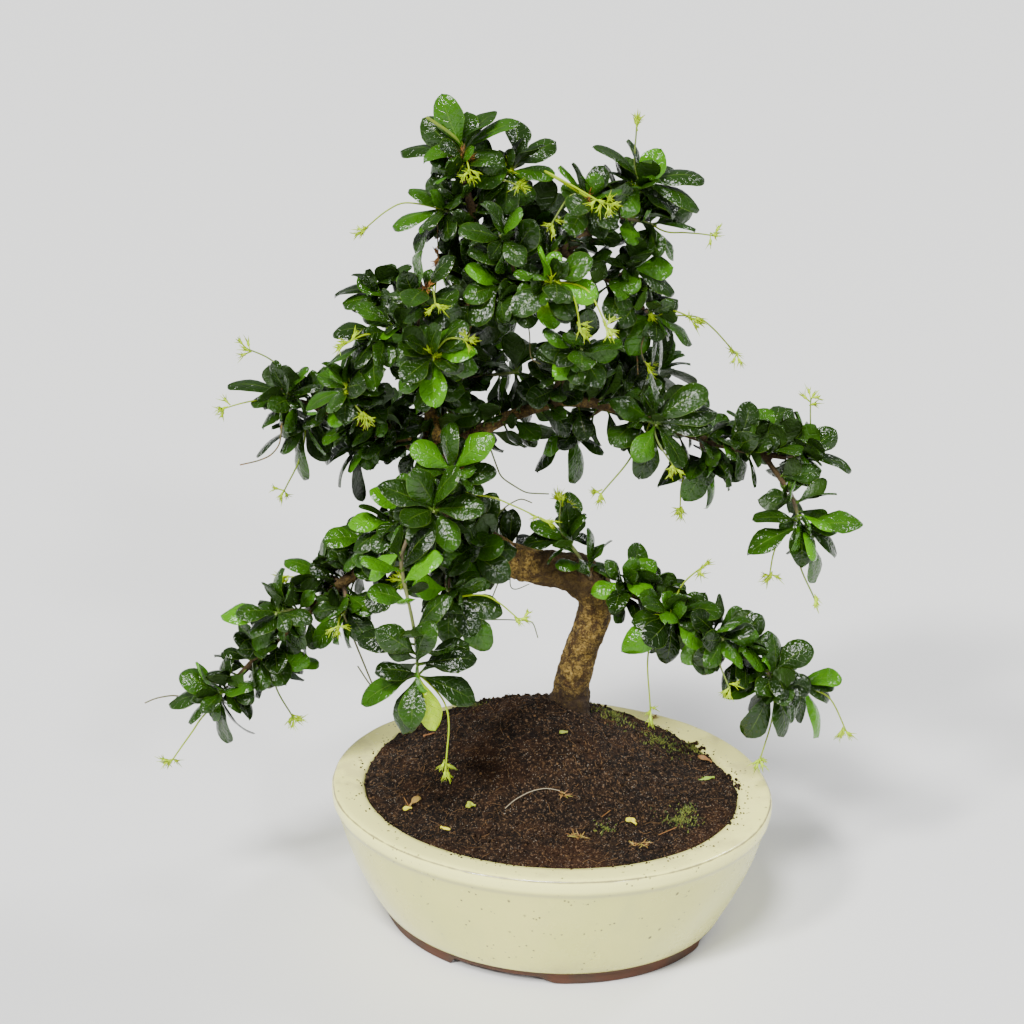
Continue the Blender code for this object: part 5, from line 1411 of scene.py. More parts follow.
def build_bark(settings):
    """The whole wood as one skin: branches fused, then cracked and wrinkled along the grain."""
    fine = bark_paths()
    lofts = [tube_loft([knot.xyz for knot in line], [knot.w for knot in line],
                       TRUNK_SIDES if name == "trunk" else BRANCH_SIDES) for name, line in fine.items()]
    lofts += knot_lofts(fine["trunk"])
    piece = build_piece("bark", lofted_mesh("bark", lofts), [bark_material(settings)], "bark", "trunk")
    fuse = piece.modifiers.new("Fuse", "REMESH")
    fuse.mode = "VOXEL"
    fuse.voxel_size = BARK_VOXEL
    ease = piece.modifiers.new("Ease", "SMOOTH")
    ease.factor = 0.5
    ease.iterations = 3
    skin = modified_mesh(piece)
    carve_bark(skin, bark_guides(fine), settings.cracks)
    skin.shade_smooth()
    old = piece.data
    skin.materials.clear()
    for entry in old.materials:
        skin.materials.append(entry)
    piece.data = skin
    bpy.data.meshes.remove(old)


def carve_bark(skin, guides, deep):
    """Moves the skin's points by their lump, crack, wrinkle and grain, and stores what the material reads."""
    near = KDTree(len(guides))
    for index, guide in enumerate(guides):
        near.insert(guide[0], index)
    near.balance()
    unrolled, cracks, girths, moves = [], [], [], []
    spots, outward = np.empty(len(skin.vertices) * 3), np.empty(len(skin.vertices) * 3)
    skin.vertices.foreach_get("co", spots)
    skin.vertices.foreach_get("normal", outward)
    spots, outward = spots.reshape(-1, 3), outward.reshape(-1, 3)
    noise.seed_set(CRACK_SEED)
    for vert in map(Vector, spots):
        _, index, _ = near.find(vert)
        spot, side, up, ahead, travelled, radius = guides[index]
        away = vert - spot
        flat = Vector((away.dot(side), away.dot(up), travelled + away.dot(ahead)))
        cell = Vector([flat[axis] / BARK_PLATE[axis] for axis in range(3)])
        cell += noise.noise_vector(cell * 0.7) * 0.45
        gaps, _ = noise.voronoi(cell)
        crack = max(0.0, 1.0 - (gaps[1] - gaps[0]) / CRACK_WIDTH)
        wrinkle = noise.noise(Vector([flat[axis] / WRINKLE_PITCH[axis] for axis in range(3)]) / MM)
        grain = noise.fractal(flat / GRAIN_PITCH, 0.8, 2.1, 3)
        lump = noise.fractal(flat / LUMP_PITCH, 0.9, 2.1, 4)
        girth = min(1.0, radius / THICK_WOOD)
        depth = lump * LUMP_DEPTH - crack * CRACK_DEPTH * deep + wrinkle * WRINKLE_DEPTH + grain * GRAIN_DEPTH
        moves.append(depth * (MM * (THIN_RELIEF + (1 - THIN_RELIEF) * girth ** 1.5)))
        unrolled.append(flat / MM)
        cracks.append(crack)
        girths.append(girth)
    skin.vertices.foreach_set("co", (spots + outward * np.array(moves)[:, None]).reshape(-1))
    write_attribute(skin, "unrolled", "FLOAT_VECTOR", [tuple(flat) for flat in unrolled])
    write_attribute(skin, "crack", "FLOAT", cracks)
    write_attribute(skin, "girth", "FLOAT", girths)


def knot_lofts(trunk):
    """The stubs and scars of KNOTS, as low cones sunk into the trunk."""
    path, _, sides, ups = ring_frames([knot.xyz for knot in trunk])
    lofts = []
    for share, turn, width, height in KNOTS:
        index = round(share * (len(path) - 1))
        angle = math.radians(turn)
        out = Vector(sides[index]) * math.cos(angle) + Vector(ups[index]) * math.sin(angle)
        foot = Vector(path[index]) + out * (trunk[index].w - KNOT_SUNK)
        rise = KNOT_SUNK + height * MM
        lofts.append(tube_loft([foot + out * rise * part for part in (0.0, 0.55, 0.85, 1.0)],
                               [width * part * MM for part in (1.25, 1.0, 0.75, 0.35)], 12))
    return lofts


def bark_material(settings):
    """Old bark: tan plates with dark cracks and cross wrinkles, light flecks that are partly painted
    highlights, painted shade at the elbow, browner at the soil and on thin wood, whose near-black is partly
    painted shade inside the crown.
    """
    made, graph, shader = new_material("old_bark")
    unrolled = graph.attribute("unrolled", "Vector")
    crack = graph.attribute("crack")
    plates = graph.mottle(graph.stretch(unrolled, (0.3, 0.3, 0.2)), 1.0, 0.52, settings.tan,
                          settings.brown, 0.07)
    flakes = graph.mottle(graph.stretch(unrolled, (0.8, 0.8, 1.0)), 1.0, 0.52, (0.38, 0.24, 0.06),
                          (0.024, 0.014, 0.007), 0.05)
    colour = graph.tint(plates["Color"], flakes["Mask"], 0.75, flakes["Color"])
    grains = graph.noise(unrolled, 1.25, 5.0, 0.75)
    colour = graph.mix(graph.span(grains, 0.5, 0.62, 0.0, 0.65), colour, GRAIN_DARK)
    # Light flecks in the grain: partly pale bark, partly painted highlights.
    colour = graph.mix(graph.span(grains, 0.36, 0.46, 0.6, 0.0), colour, GRAIN_LIGHT_AND_HIGHLIGHT)
    line = graph.span(graph.noise(graph.stretch(unrolled, (0.12, 0.12, 0.8)), 1.0, 5.0, 0.6, 0.8), 0.58, 0.66)
    colour = graph.tint(colour, line, 0.7, WRINKLE_DARK)
    colour = graph.tint(colour, crack, 0.6, CRACK_DARK)
    # Painted shade: the bark darkens round the elbow, where the limb leaves the trunk.
    elbow = graph.fade(graph.away(graph.spot(), ELBOW_SHADE_AT), 8 * MM, 24 * MM)
    old = graph.span(graph.plus(elbow, graph.times(graph.noise(unrolled, 0.2, 4.0), 0.7)), 0.75, 1.05)
    colour = graph.tint(colour, old, 0.75, ELBOW_SHADE)
    # Thin wood darkens to near black: partly its own dark bark, partly painted shade inside the crown.
    twig_and_crown_shade = graph.mix(graph.noise(unrolled, 0.35), (0.02, 0.012, 0.006), (0.07, 0.045, 0.02))
    colour = graph.tint(colour, graph.fade(graph.attribute("girth"), 0.22, 0.6), 0.9, twig_and_crown_shade)
    height_at = graph.minus(graph.parts(graph.spot())[2],
                            graph.times(graph.noise(unrolled, 0.3, 5.0, 0.8), 0.04))
    colour = graph.tint(colour, graph.fade(height_at, 0.069, 0.082), 0.9, SOILED_BARK)
    fine = graph.noise(graph.stretch(unrolled, (1.0, 1.0, 1.4)), 1.3, 6.0, 0.75)
    height = graph.total((fine, 1.0), (line, -0.35), (crack, -0.4))
    finish_with(graph, shader, colour, graph.span(fine, 0.3, 0.7, 0.62, 0.95), graph.bump(height, 0.8 * MM),
                specular=0.25)
    return made


# Pot profile: radius and height in mm, from the middle of the floor inside, over the rim, to under the base
POT_PROFILE = ((0, 10), (40, 10), (63, 10), (67, 10.6), (71.5, 12.6), (75, 15), (77.2, 21), (79, 31),
               (82, 46), (83.6, 54), (84.5, 59), (85.1, 60.3), (86.2, 61.1), (89, 61.45), (93, 61.8),
               (96.6, 62.0), (98.5, 61.9), (99.5, 61.3), (99.95, 60.3), (100, 58.6), (99.9, 56.8),
               (99.7, 55.8), (99.2, 54.7), (98.6, 53.6), (98.0, 52.2), (97.0, 49), (94.4, 40),
               (91.0, 30.5), (86.4, 20), (82.0, 11.5), (79.9, 7.9), (79.0, 6.8), (77.9, 6.2),
               (77.2, 5.6), (76.9, 4), (76.7, 1.2), (76.2, 0.3), (75.2, 0), (69.6, 0), (68.6, 0.4),
               (67.6, 2.0), (66.6, 3.2), (64, 3.5), (40, 3.5), (0, 3.5))
POT_STEPS = 220
ARCHES = ((6, 60.0), (90, 30.0), (186, 60.0), (270, 30.0))     # degrees round from the front, width in mm
ARCH_HEIGHT = 3.2 * MM
DRAIN_AT = 32.0 * MM
DRAIN_RADIUS = 6.0 * MM
FOOT_RING = 0.6                     # beyond this share of the radius the underside is foot, not floor
FOOT_REACH = 6.5 * MM               # the arches fade out at this height
WALL_FROM_Z = 8.0 * MM              # the hand-made wall strays above this height
RIM_FROM_Z = 50.0 * MM
LIP_AT = (99.3, 61.3)               # radius and height of the worn edge, in mm
BROAD_STRAY = 55 * MM
FINE_STRAY = 11 * MM


def arch_lift(x, y):
    """How high the foot's underside stands over a point given on the pot's own axes."""
    lift = 0.0
    for degrees, width in ARCHES:
        turn = -math.radians(degrees)
        along = (x * math.cos(turn) - y * math.sin(turn)) / MM
        out = -(x * math.sin(turn) + y * math.cos(turn)) / MM
        if out < 40:
            continue
        left = (along + width / 2) / 1.6
        right = (width * 0.325 - along) / (width * 0.35 / 2)
        lift = max(lift, min(1.0, max(0.0, left), max(0.0, right)))
    return lift * lift * (3 - 2 * lift) * ARCH_HEIGHT


def turned_pot():
    """The pot's profile turned round into one closed mesh."""
    bm = bmesh.new()
    rings = []
    for radius, height in POT_PROFILE:
        angles = [2 * math.pi * step / POT_STEPS for step in range(POT_STEPS if radius else 1)]
        rings.append([bm.verts.new((radius * MM * math.cos(angle), radius * MM * math.sin(angle) * POT_ROUND,
                                    height * MM)) for angle in angles])
    for low, high in zip(rings, rings[1:]):
        for step in range(POT_STEPS):
            after = (step + 1) % POT_STEPS
            corners = [low[step % len(low)], low[after % len(low)],
                       high[after % len(high)], high[step % len(high)]]
            bm.faces.new(dict.fromkeys(corners))
    bmesh.ops.recalc_face_normals(bm, faces=bm.faces)
    mesh = bpy.data.meshes.new("glazed_pot")
    bm.to_mesh(mesh)
    bm.free()
    return mesh


def build_pot(settings):
    """The bowl, thrown by hand: never quite even, with its lip, rounded rim and arched foot."""
    mesh = turned_pot()
    foots, edges = [], []
    turn = Matrix.Rotation(POT_TURN, 3, "Z")
    for vert in mesh.vertices:
        x, y, z = vert.co
        ring = math.hypot(x, y / POT_ROUND) / (POT_LENGTH / 2)
        if ring > FOOT_RING and z < 7 * MM:
            vert.co.z = z + arch_lift(x, y) * max(0.0, 1 - z / FOOT_REACH)
        drift = noise.noise(Vector((x, y, z)) / BROAD_STRAY) * settings.wobble
        small = noise.noise(Vector((x, y, z)) / FINE_STRAY) * settings.wobble * 0.3
        if ring > FOOT_RING and z > WALL_FROM_Z:
            vert.co.x *= 1 + (drift + small) / (POT_LENGTH / 2)
            vert.co.y *= 1 + (drift + small) / (POT_LENGTH / 2)
            vert.co.z += drift * 0.5 if z > RIM_FROM_Z else 0.0
        outside = ring > 0.665 and z < GLAZE_FOOT_Z or ring <= 0.7 and z < 9 * MM
        foots.append(1.0 if outside else 0.0)
        edges.append(max(0.0, 1 - abs(math.hypot(ring * 100 - LIP_AT[0], (z - LIP_AT[1] * MM) / MM)) / 1.5))
        vert.co = turn @ vert.co
    write_attribute(mesh, "bare_clay", "FLOAT", foots)
    write_attribute(mesh, "lip_edge", "FLOAT", edges)
    mesh.shade_smooth()
    piece = build_piece("glazed_pot", mesh, [glaze_material(settings)], "pot_glaze", "pot")
    drains = drain_cutter()
    step = piece.modifiers.new("Drains", "BOOLEAN")
    step.operation = "DIFFERENCE"
    step.solver = "EXACT"
    step.object = drains
    piece.data = modified_mesh(piece)
    bpy.data.objects.remove(drains)


def drain_cutter():
    """Two pegs where the drain holes go."""
    bm = bmesh.new()
    for side in (-1, 1):
        at = Matrix.Rotation(POT_TURN, 4, "Z") @ Matrix.Translation((side * DRAIN_AT, 0, FLOOR_Z / 2))
        bmesh.ops.create_cone(bm, cap_ends=True, segments=40, radius1=DRAIN_RADIUS, radius2=DRAIN_RADIUS,
                              depth=2 * FLOOR_Z, matrix=at)
    mesh = bpy.data.meshes.new("drains")
    bm.to_mesh(mesh)
    bm.free()
    made = bpy.data.objects.new("drains", mesh)
    made.location = POT_AT
    bpy.context.scene.collection.objects.link(made)
    return made


def glaze_material(settings):
    """Cream glaze with a grey-green cast, dark pits, a thin brown edge and a bare clay foot."""
    made, graph, shader = new_material("cream_glaze_surface")
    spot = graph.spot()
    height_at = graph.parts(spot)[2]
    cast = [colour * share for colour, share in zip(settings.glaze, (0.88, 0.92, 0.84))]
    body = graph.mottle(spot, 17.0, 0.5, settings.glaze, cast, 0.25)
    streak = graph.noise(graph.stretch(spot, (1.0, 1.0, 0.25)), 60.0, 5.0)
    colour = graph.mix(graph.span(streak, 0.45, 0.75, 0.0, 0.3), body["Color"], GLAZE_STREAK)
    # The lip and rim take a lighter, yellower glaze: partly the glaze's own colour, partly a painted
    # highlight on the lit top.
    colour = graph.tint(colour, graph.span(height_at, 0.0545, 0.0575), 0.9, settings.rim)
    # Painted shade: a grey band where the wall turns in under the lip.
    lip_shadow_band = graph.times(graph.span(height_at, 0.0525, 0.0543), graph.fade(height_at, 0.0545, 0.0562))
    colour = graph.tint(colour, lip_shadow_band, 0.4, LIP_SHADOW_GREY)
    edge = graph.plus(graph.attribute("lip_edge"), graph.times(graph.noise(spot, 150.0, 5.0), 0.6))
    colour = graph.tint(colour, graph.span(edge, 0.8, 1.15), 0.8, WORN_LIP)
    small = graph.pits(spot, 360.0, 0.22, 0.53)
    large = graph.pits(graph.stretch(spot, (1.0, 1.4, 0.8)), 120.0, 0.12, 0.55)
    speck = graph.math("MAXIMUM", small["Mask"], large["Mask"])
    colour = graph.tint(colour, speck, settings.specks, PIT_BROWN)
    stain = graph.noise(spot, 42.0, 5.0, 0.65)
    grime = graph.times(graph.span(stain, 0.45, 0.7), graph.fade(height_at, 0.004, 0.02))
    colour = graph.tint(colour, grime, 0.45, GRIME)
    smear = graph.times(graph.span(stain, 0.5, 0.68), graph.span(height_at, 0.0595, 0.0612))
    colour = graph.tint(colour, smear, 0.35, RIM_SMEAR)
    clay = graph.mottle(spot, 70.0, 0.5, settings.clay, DARK_CLAY)
    creep = graph.plus(graph.attribute("bare_clay"), graph.stray(graph.noise(spot, 110.0), 0.5))
    bare = graph.span(creep, 0.45, 0.6)
    colour = graph.mix(bare, colour, clay["Color"])
    gloss = graph.total((bare, 0.5), (speck, 0.3))
    roughness = graph.math("ADD", graph.span(stain, 0.3, 0.8, 0.2, 0.34), gloss, clamp=True)
    height = graph.total((graph.noise(spot, 130.0, 3.0), 0.45), (small["Height"], 0.5),
                         (large["Height"], 0.8))
    finish_with(graph, shader, colour, roughness, graph.bump(height, 0.5 * MM, 0.5))
    graph.feed(shader, "Coat Roughness", 0.08)
    graph.feed(shader, "Coat Weight", graph.span(bare, 0.0, 1.0, 0.25, 0.0))
    return made


def dress_screens():
    """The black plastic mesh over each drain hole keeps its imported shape."""
    made, graph, shader = new_material("drain_screen_plastic")
    spot = graph.spot()
    dust = graph.mottle(spot, 300.0, 0.56, (0.018, 0.018, 0.018), (0.07, 0.045, 0.03))
    finish_with(graph, shader, dust["Color"], graph.span(dust["Mask"], 0.0, 1.0, 0.42, 0.85),
                graph.bump(graph.noise(spot, 900.0), 0.1 * MM, 0.5))
    for name in ("drain_screen_left", "drain_screen_right"):
        node = frame["nodes"][name]
        node.data.materials.clear()
        node.data.materials.append(made)


# Bed of soil
SOIL_RINGS = 84
SOIL_TURNS = 300
SOIL_RADIUS = 84.3 * MM


def soil_height(x, y):
    """The soil's surface over a point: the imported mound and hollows, and then its clods."""
    at = Vector((x, y, 0.0))
    along, across = Matrix.Rotation(-POT_TURN, 2) @ Vector((x, y))
    ring = min(1.0, math.hypot(along, across / POT_ROUND) / SOIL_RADIUS)
    hollow = noise.fractal(at / HOLLOW_PITCH, 0.9, 2.0, 3) * HOLLOW_DEPTH * (1 - ring ** 6)
    clods = noise.fractal(at / (6 * MM) + Vector((7, 3, 1)), 0.7, 2.2, 3) * 1.1 * MM
    crumbs = noise.noise(at / (1.7 * MM)) * 0.55 * MM
    return mound_height(x, y) + hollow + clods + crumbs + 1.2 * MM * ring ** 6


def soil_point(share, angle):
    """A point of the bed given by its share of the way out and its turn round the pot."""
    out = SOIL_RADIUS * share
    return pot_turned(out * math.cos(angle), out * math.sin(angle) * POT_ROUND)


def pot_turned(along, across):
    """A point given along and across the pot, on the upright frame's x and y."""
    spot = Matrix.Rotation(POT_TURN, 2) @ Vector((along, across))
    return spot.x, spot.y


def bed_ring(share):
    """Points all round the bed at one share of the way out."""
    return [soil_point(share, 2 * math.pi * turn / SOIL_TURNS) for turn in range(SOIL_TURNS)]


def build_soil(settings):
    """The bed of soil: a rough granular mound with sides that follow the pot's wall."""
    rings = []
    for step in range(SOIL_RINGS + 1):
        spots = bed_ring((step + 0.15) / (SOIL_RINGS + 0.15))
        rings.append([(x, y, soil_height(x, y)) for x, y in spots])
    for radius, height in reversed(SOIL_WALL):
        spots = bed_ring((radius - 0.5) * MM / SOIL_RADIUS)
        rings.append([(x, y, min(height * MM, soil_height(x, y) - 2 * MM) if height > 50 else height * MM)
                      for x, y in spots])
    mesh = lofted_mesh("soil_bed", [Loft(np.array(rings)[::-1], NO_PLACE)], 80.0)
    build_piece("soil_bed", mesh, [soil_material(settings)], "soil", "soil")


def soil_material(settings):
    """Moist peat and bark: nearly black crumbs with red-brown fibre."""
    made, graph, shader = new_material("peat_soil")
    spot = graph.spot()
    broad = graph.mottle(spot, 26.0, 0.56, settings.dark, settings.red, 0.1)
    middle = graph.mottle(spot, 330.0, 0.53, (0.004, 0.002, 0.001), (0.06, 0.030, 0.013), 0.06)
    fine = graph.mottle(graph.stretch(spot, (1.0, 0.8, 1.0)), 1000.0, 0.59, (0.003, 0.0015, 0.0008),
                        (0.36, 0.22, 0.115), 0.04)
    colour = graph.mix(0.5, broad["Color"], middle["Color"])
    colour = graph.mix(0.36, colour, fine["Color"])
    colour = graph.tint(colour, graph.pits(spot, 900.0, 0.25, 0.5)["Mask"], 0.7, GRIT_WHITE)
    colour = graph.mix(graph.span(graph.attribute("tone"), 0.0, 1.0), colour, CRUMB_BROWN)
    height = graph.total((graph.cells(spot, 640.0), -0.9), (graph.noise(spot, 1500.0, 4.0, 0.75), 1.0))
    finish_with(graph, shader, colour, 0.8, graph.bump(height, 1.2 * MM), specular=0.2)
    return made


CRUMB_CORNERS = np.linspace(0, 2 * math.pi, 5, endpoint=False)


def crumb_lofts(count, sizes, seed, tones):
    """Loose crumbs that lie on the bed, each a small uneven lump."""
    chance = random.Random(seed)
    lofts = []
    while len(lofts) < count:
        share = math.sqrt(chance.random()) * 0.985
        x, y = soil_point(share, chance.uniform(0, 2 * math.pi))
        size = chance.uniform(*sizes) * chance.uniform(0.6, 1.0) * MM
        at = np.array((x, y, soil_height(x, y) + size * chance.uniform(0.0, 0.45)))
        lofts.append(crumb_loft(at, size, 0.8, chance, tones))
    return lofts


def crumb_loft(at, size, flat, chance, tones):
    """Four rough rings that close into a crumb."""
    way = scatter(chance, 1).normalized()
    side = way.orthogonal().normalized()
    basis = np.array((side, way.cross(side), way))
    rings = []
    for height, radius in ((-0.9, 0.35), (-0.4, 0.95), (0.35, 0.9), (0.9, 0.3)):
        rough = np.array([radius * chance.uniform(0.7, 1.25) for _ in CRUMB_CORNERS])
        local = np.stack((np.cos(CRUMB_CORNERS) * rough, np.sin(CRUMB_CORNERS) * rough,
                          np.full(len(CRUMB_CORNERS), height * flat)), -1)
        rings.append(at + (local * size) @ basis)
    return Loft(np.array(rings), NO_PLACE, chance.choice(tones))


def fibre_lofts(count, seed):
    """Fine roots and peat fibres on the bed, some of them pale."""
    chance = random.Random(seed)
    lofts = []
    for _ in range(count):
        share = math.sqrt(chance.random()) * 0.97
        x, y = soil_point(share, chance.uniform(0, 2 * math.pi))
        heading = chance.uniform(0, 2 * math.pi)
        length = chance.choice((2, 3, 3, 4, 5, 8)) * chance.uniform(0.8, 1.2) * MM
        path = []
        for _ in range(4):
            path.append(Vector((x, y, soil_height(x, y) + chance.uniform(0.1, 0.8) * MM)))
            heading += chance.gauss(0, 0.35)
            x += math.cos(heading) * length / 3
            y += math.sin(heading) * length / 3
            if math.hypot(x, y) > SOIL_RADIUS * 0.93:
                break
        if len(path) > 2:
            radius = chance.uniform(0.06, 0.14) * MM
            lofts.append(tube_loft(path, [radius] * len(path), 3, chance.choice((0.1, 0.3, 0.5, 0.9))))
    return lofts


# Moss patches on the bed: middle in mm on the pot's plan, reach in mm, tufts
MOSS = ((56, -30, 10, 260), (60, -22, 6, 80), (24, -39, 6, 50), (52, 34, 13, 300), (68, 36, 8, 160),
        (30, 44, 12, 260), (14, 60, 12, 200), (-34, 46, 8, 60))


def moss_lofts(seed):
    """Short upright moss leaves in loose patches."""
    chance = random.Random(seed)
    lofts = []
    for x, y, reach, count in MOSS:
        for _ in range(count):
            away = abs(chance.gauss(0, 0.5)) * reach * MM
            turn = chance.uniform(0, 2 * math.pi)
            at = Vector((x * MM + away * math.cos(turn), y * MM + away * math.sin(turn), 0.0))
            at.z = soil_height(at.x, at.y) - 0.3 * MM
            lean = Vector((chance.gauss(0, 0.5), chance.gauss(0, 0.5), 1.0)).normalized()
            tall = chance.uniform(0.8, 1.9) * MM
            bend = Vector((chance.gauss(0, 1), chance.gauss(0, 1), 0)) * 0.3 * MM
            path = [at, at + lean * tall * 0.5 + bend * 0.3, at + lean * tall + bend]
            lofts.append(tube_loft(path, [0.26 * MM, 0.3 * MM, 0.06 * MM], 4, chance.random()))
    return lofts


def moss_material(settings):
    """Moss: each short leaf from dark to yellow-green by its own tone."""
    made, graph, shader = new_material("moss")
    colour = graph.ramp(graph.attribute("tone"), ((0.0, (0.03, 0.045, 0.008)), (0.5, settings.moss),
                                                  (1.0, (0.20, 0.22, 0.03))))
    finish_with(graph, shader, colour, 0.8, graph.bump(graph.noise(graph.spot(), 1500.0), 0.1 * MM, 0.5))
    return made


# Litter on the bed, by its place on the pot's plan in mm: fallen leaves with tone, length and heading,
# petals with tone, and withered flowers
FALLEN_LEAVES = ((-62, -21, 0.24, 9, 60), (75, 22, 0.1, 7, 160), (75, 9, 0.5, 8, 200), (-58, 28, 0.02, 8, 10))
PETALS = ((-48, -35, 1.0), (36, -32, 0.8), (34, -30, 0.9), (37, -34, 1.0), (-33, -26, 0.62), (-35, -24, 0.62),
          (-61, -23, 0.85), (8, 8, 0.4))
WITHERED = ((6, -21), (9, -43), (12, -44), (35, -53), (39, -54), (51, 66))
LONG_FIBRE = ((-20, -29), (-16, -25.5), (-9, -22), (-2, -19.5), (4, -19))
DRY_STALKS = (((22, -34), (26, -28)), ((46, -44), (54, -39)), ((-62, -22), (-66, -10)))
PALE_FIBRE = 1.9                    # a tone past the leaves' own, which the litter's material turns grey
PALE_GRIT = 2.4


def lying_at(x, y, lift):
    """A point given in mm on the pot's plan, at a lift over the soil."""
    return Vector((x * MM, y * MM, soil_height(x * MM, y * MM) + lift * MM))


def litter_lofts(seed):
    """Curled fallen leaves, yellow petals, withered flowers and a long pale fibre that lie on the bed."""
    chance = random.Random(seed)
    lofts = []
    blades = [(x, y, tone, length, 0.48, math.radians(turn)) for x, y, tone, length, turn in FALLEN_LEAVES]
    blades += [(x, y, tone, chance.uniform(3.5, 5.0), 0.7, chance.uniform(0, 6)) for x, y, tone in PETALS]
    for x, y, tone, length, width, heading in blades:
        along = Vector((math.cos(heading), math.sin(heading), chance.uniform(0.0, 0.35))).normalized()
        up = Vector((chance.gauss(0, 0.3), chance.gauss(0, 0.3), 1))
        up = (up - along * up.dot(along)).normalized()
        leaf = Leaf(lying_at(x, y, 0.9), along, up, length * MM, length * width * MM,
                    chance.uniform(0.3, 0.7), chance.uniform(0.4, 0.9))
        lofts.append(leaf_loft(leaf, chance, tone))
    for x, y in WITHERED:
        heart = lying_at(x, y, 0.8)
        for _ in range(16):
            way = scatter(chance, 1).normalized()
            foot = heart + Vector([chance.uniform(-1.5, 1.5) for _ in range(2)] + [chance.uniform(0, 1)]) * MM
            length = chance.uniform(1.2, 2.8) * MM
            lofts.append(sepal_loft(foot, way, length, chance, chance.uniform(0.06, 0.34)))
    for path in (LONG_FIBRE, *DRY_STALKS):
        path = [lying_at(x, y, 0.5 + 1.2 * (0 < index < len(path) - 1)) for index, (x, y) in enumerate(path)]
        line = eased_path(path, 1.5 * MM)
        lofts.append(tube_loft(line, [0.2 * MM] * len(line), 5, PALE_FIBRE if len(path) > 2 else 0.1))
    for loft in lofts:
        loft.finish = LEAF_FINISH
    return lofts


def litter_material():
    """Fallen leaves and petals, brown to yellow by their tone, and grey fibre past that."""
    made, graph, shader = new_material("fallen_leaf")
    spot = graph.spot()
    tone = graph.plus(graph.attribute("tone"), graph.times(graph.noise(spot, 300.0), 0.25))
    colour = graph.ramp(tone, ((0.0, (0.08, 0.035, 0.015)), (0.2, (0.26, 0.11, 0.03)),
                               (0.36, (0.40, 0.25, 0.06)), (0.6, (0.22, 0.36, 0.03)),
                               (1.0, (0.70, 0.62, 0.02))))
    colour = graph.mix(graph.span(tone, 1.4, 1.6), colour, FIBRE_PALE)
    finish_with(graph, shader, colour, 0.6, graph.bump(graph.noise(spot, 900.0, 3.0), 0.2 * MM, 0.6))
    return made


SMALL_CRUMBS, CLODS, GRIT, FIBRES = 2100, 300, 46, 900
RIM_SPECKS = 900                    # of which the first EDGE_SPECKS creep over the inner edge
EDGE_SPECKS = 650
RIM_INNER = 83 * MM


def build_ground_cover(settings):
    """What lies on the bed: crumbs, fibres, moss and litter, and the specks on the pot's rim."""
    soil = soil_material(settings)
    crumbs = crumb_lofts(round(SMALL_CRUMBS * settings.crumbs), (0.35, 1.0), "small crumbs",
                         (0.0, 0.0, 0.04, 0.1, 0.2, 0.4))
    crumbs += crumb_lofts(round(CLODS * settings.crumbs), (0.9, 1.7), "clods", (0.0, 0.0, 0.03))
    crumbs += crumb_lofts(GRIT, (0.4, 0.9), "pale grit", (PALE_GRIT,))
    crumbs += rim_specks("rim specks")
    for name, lofts, sharp, material, slot in (
            ("soil_crumbs", crumbs, 35.0, soil, "soil"),
            ("soil_fibres", fibre_lofts(FIBRES, "fibres"), 50.0, soil, "soil"),
            ("moss_patches", moss_lofts("moss"), 50.0, moss_material(settings), "leaf"),
            ("litter", litter_lofts("litter"), 50.0, litter_material(), "leaf")):
        build_piece(name, lofted_mesh(name, lofts, sharp), [material], slot)


def rim_specks(seed):
    """Soil that creeps over the inner edge of the rim, and crumbs left on its flat."""
    chance = random.Random(seed)
    lofts = []
    for index in range(RIM_SPECKS):
        edge = index < EDGE_SPECKS
        angle = chance.uniform(0, 2 * math.pi)
        heap = max(0.0, noise.noise(Vector((math.cos(angle), math.sin(angle), 0)) * 3.0) + 0.35)
        radius = (83.0 + chance.random() ** 1.6 * 5 * heap if edge else 85.5 + abs(chance.gauss(0, 4.5))) * MM
        if radius > 97 * MM:
            continue
        x, y = pot_turned(radius * math.cos(angle), radius * math.sin(angle) * POT_ROUND)
        size = (chance.uniform(0.5, 1.2) if edge else chance.uniform(0.2, 0.6)) * MM
        sunk = 0.75 * MM if radius > 85.3 * MM else 3.4 * MM - (radius - RIM_INNER) * 1.2
        at = np.array((x, y, POT_HEIGHT - sunk + size * 0.35))
        lofts.append(crumb_loft(at, size, 0.7, chance, (0, 0.05)))
    return lofts


# Stage: the camera stands at EYE and looks down
CAMERA_DOWN = math.radians(19.4)
CAMERA_LENS = 69.6                  # in mm, on a sensor of 36 mm
FLOOR_SIZE = 40.0
FLOOR_ROUGHNESS = 0.55
SKY_COLOUR = (0.93, 0.96, 1.0, 1.0)
# Lights: where each shines from, its width in degrees, strength and colour
LIGHTS = (("window_light", (-0.85, -0.85, 1.05), 8.0, 3.1, (1.0, 0.99, 0.96)),
          ("top_light", (-0.3, -0.8, 1.5), 14.0, 4.0, (1.0, 1.0, 1.0)),
          ("back_light", (0.9, 0.5, 1.1), 10.0, 1.3, (1.0, 1.0, 1.0)),
          ("fill_light", (0.5, -1.0, 0.62), 6.5, 1.35, (0.97, 0.98, 1.0)))


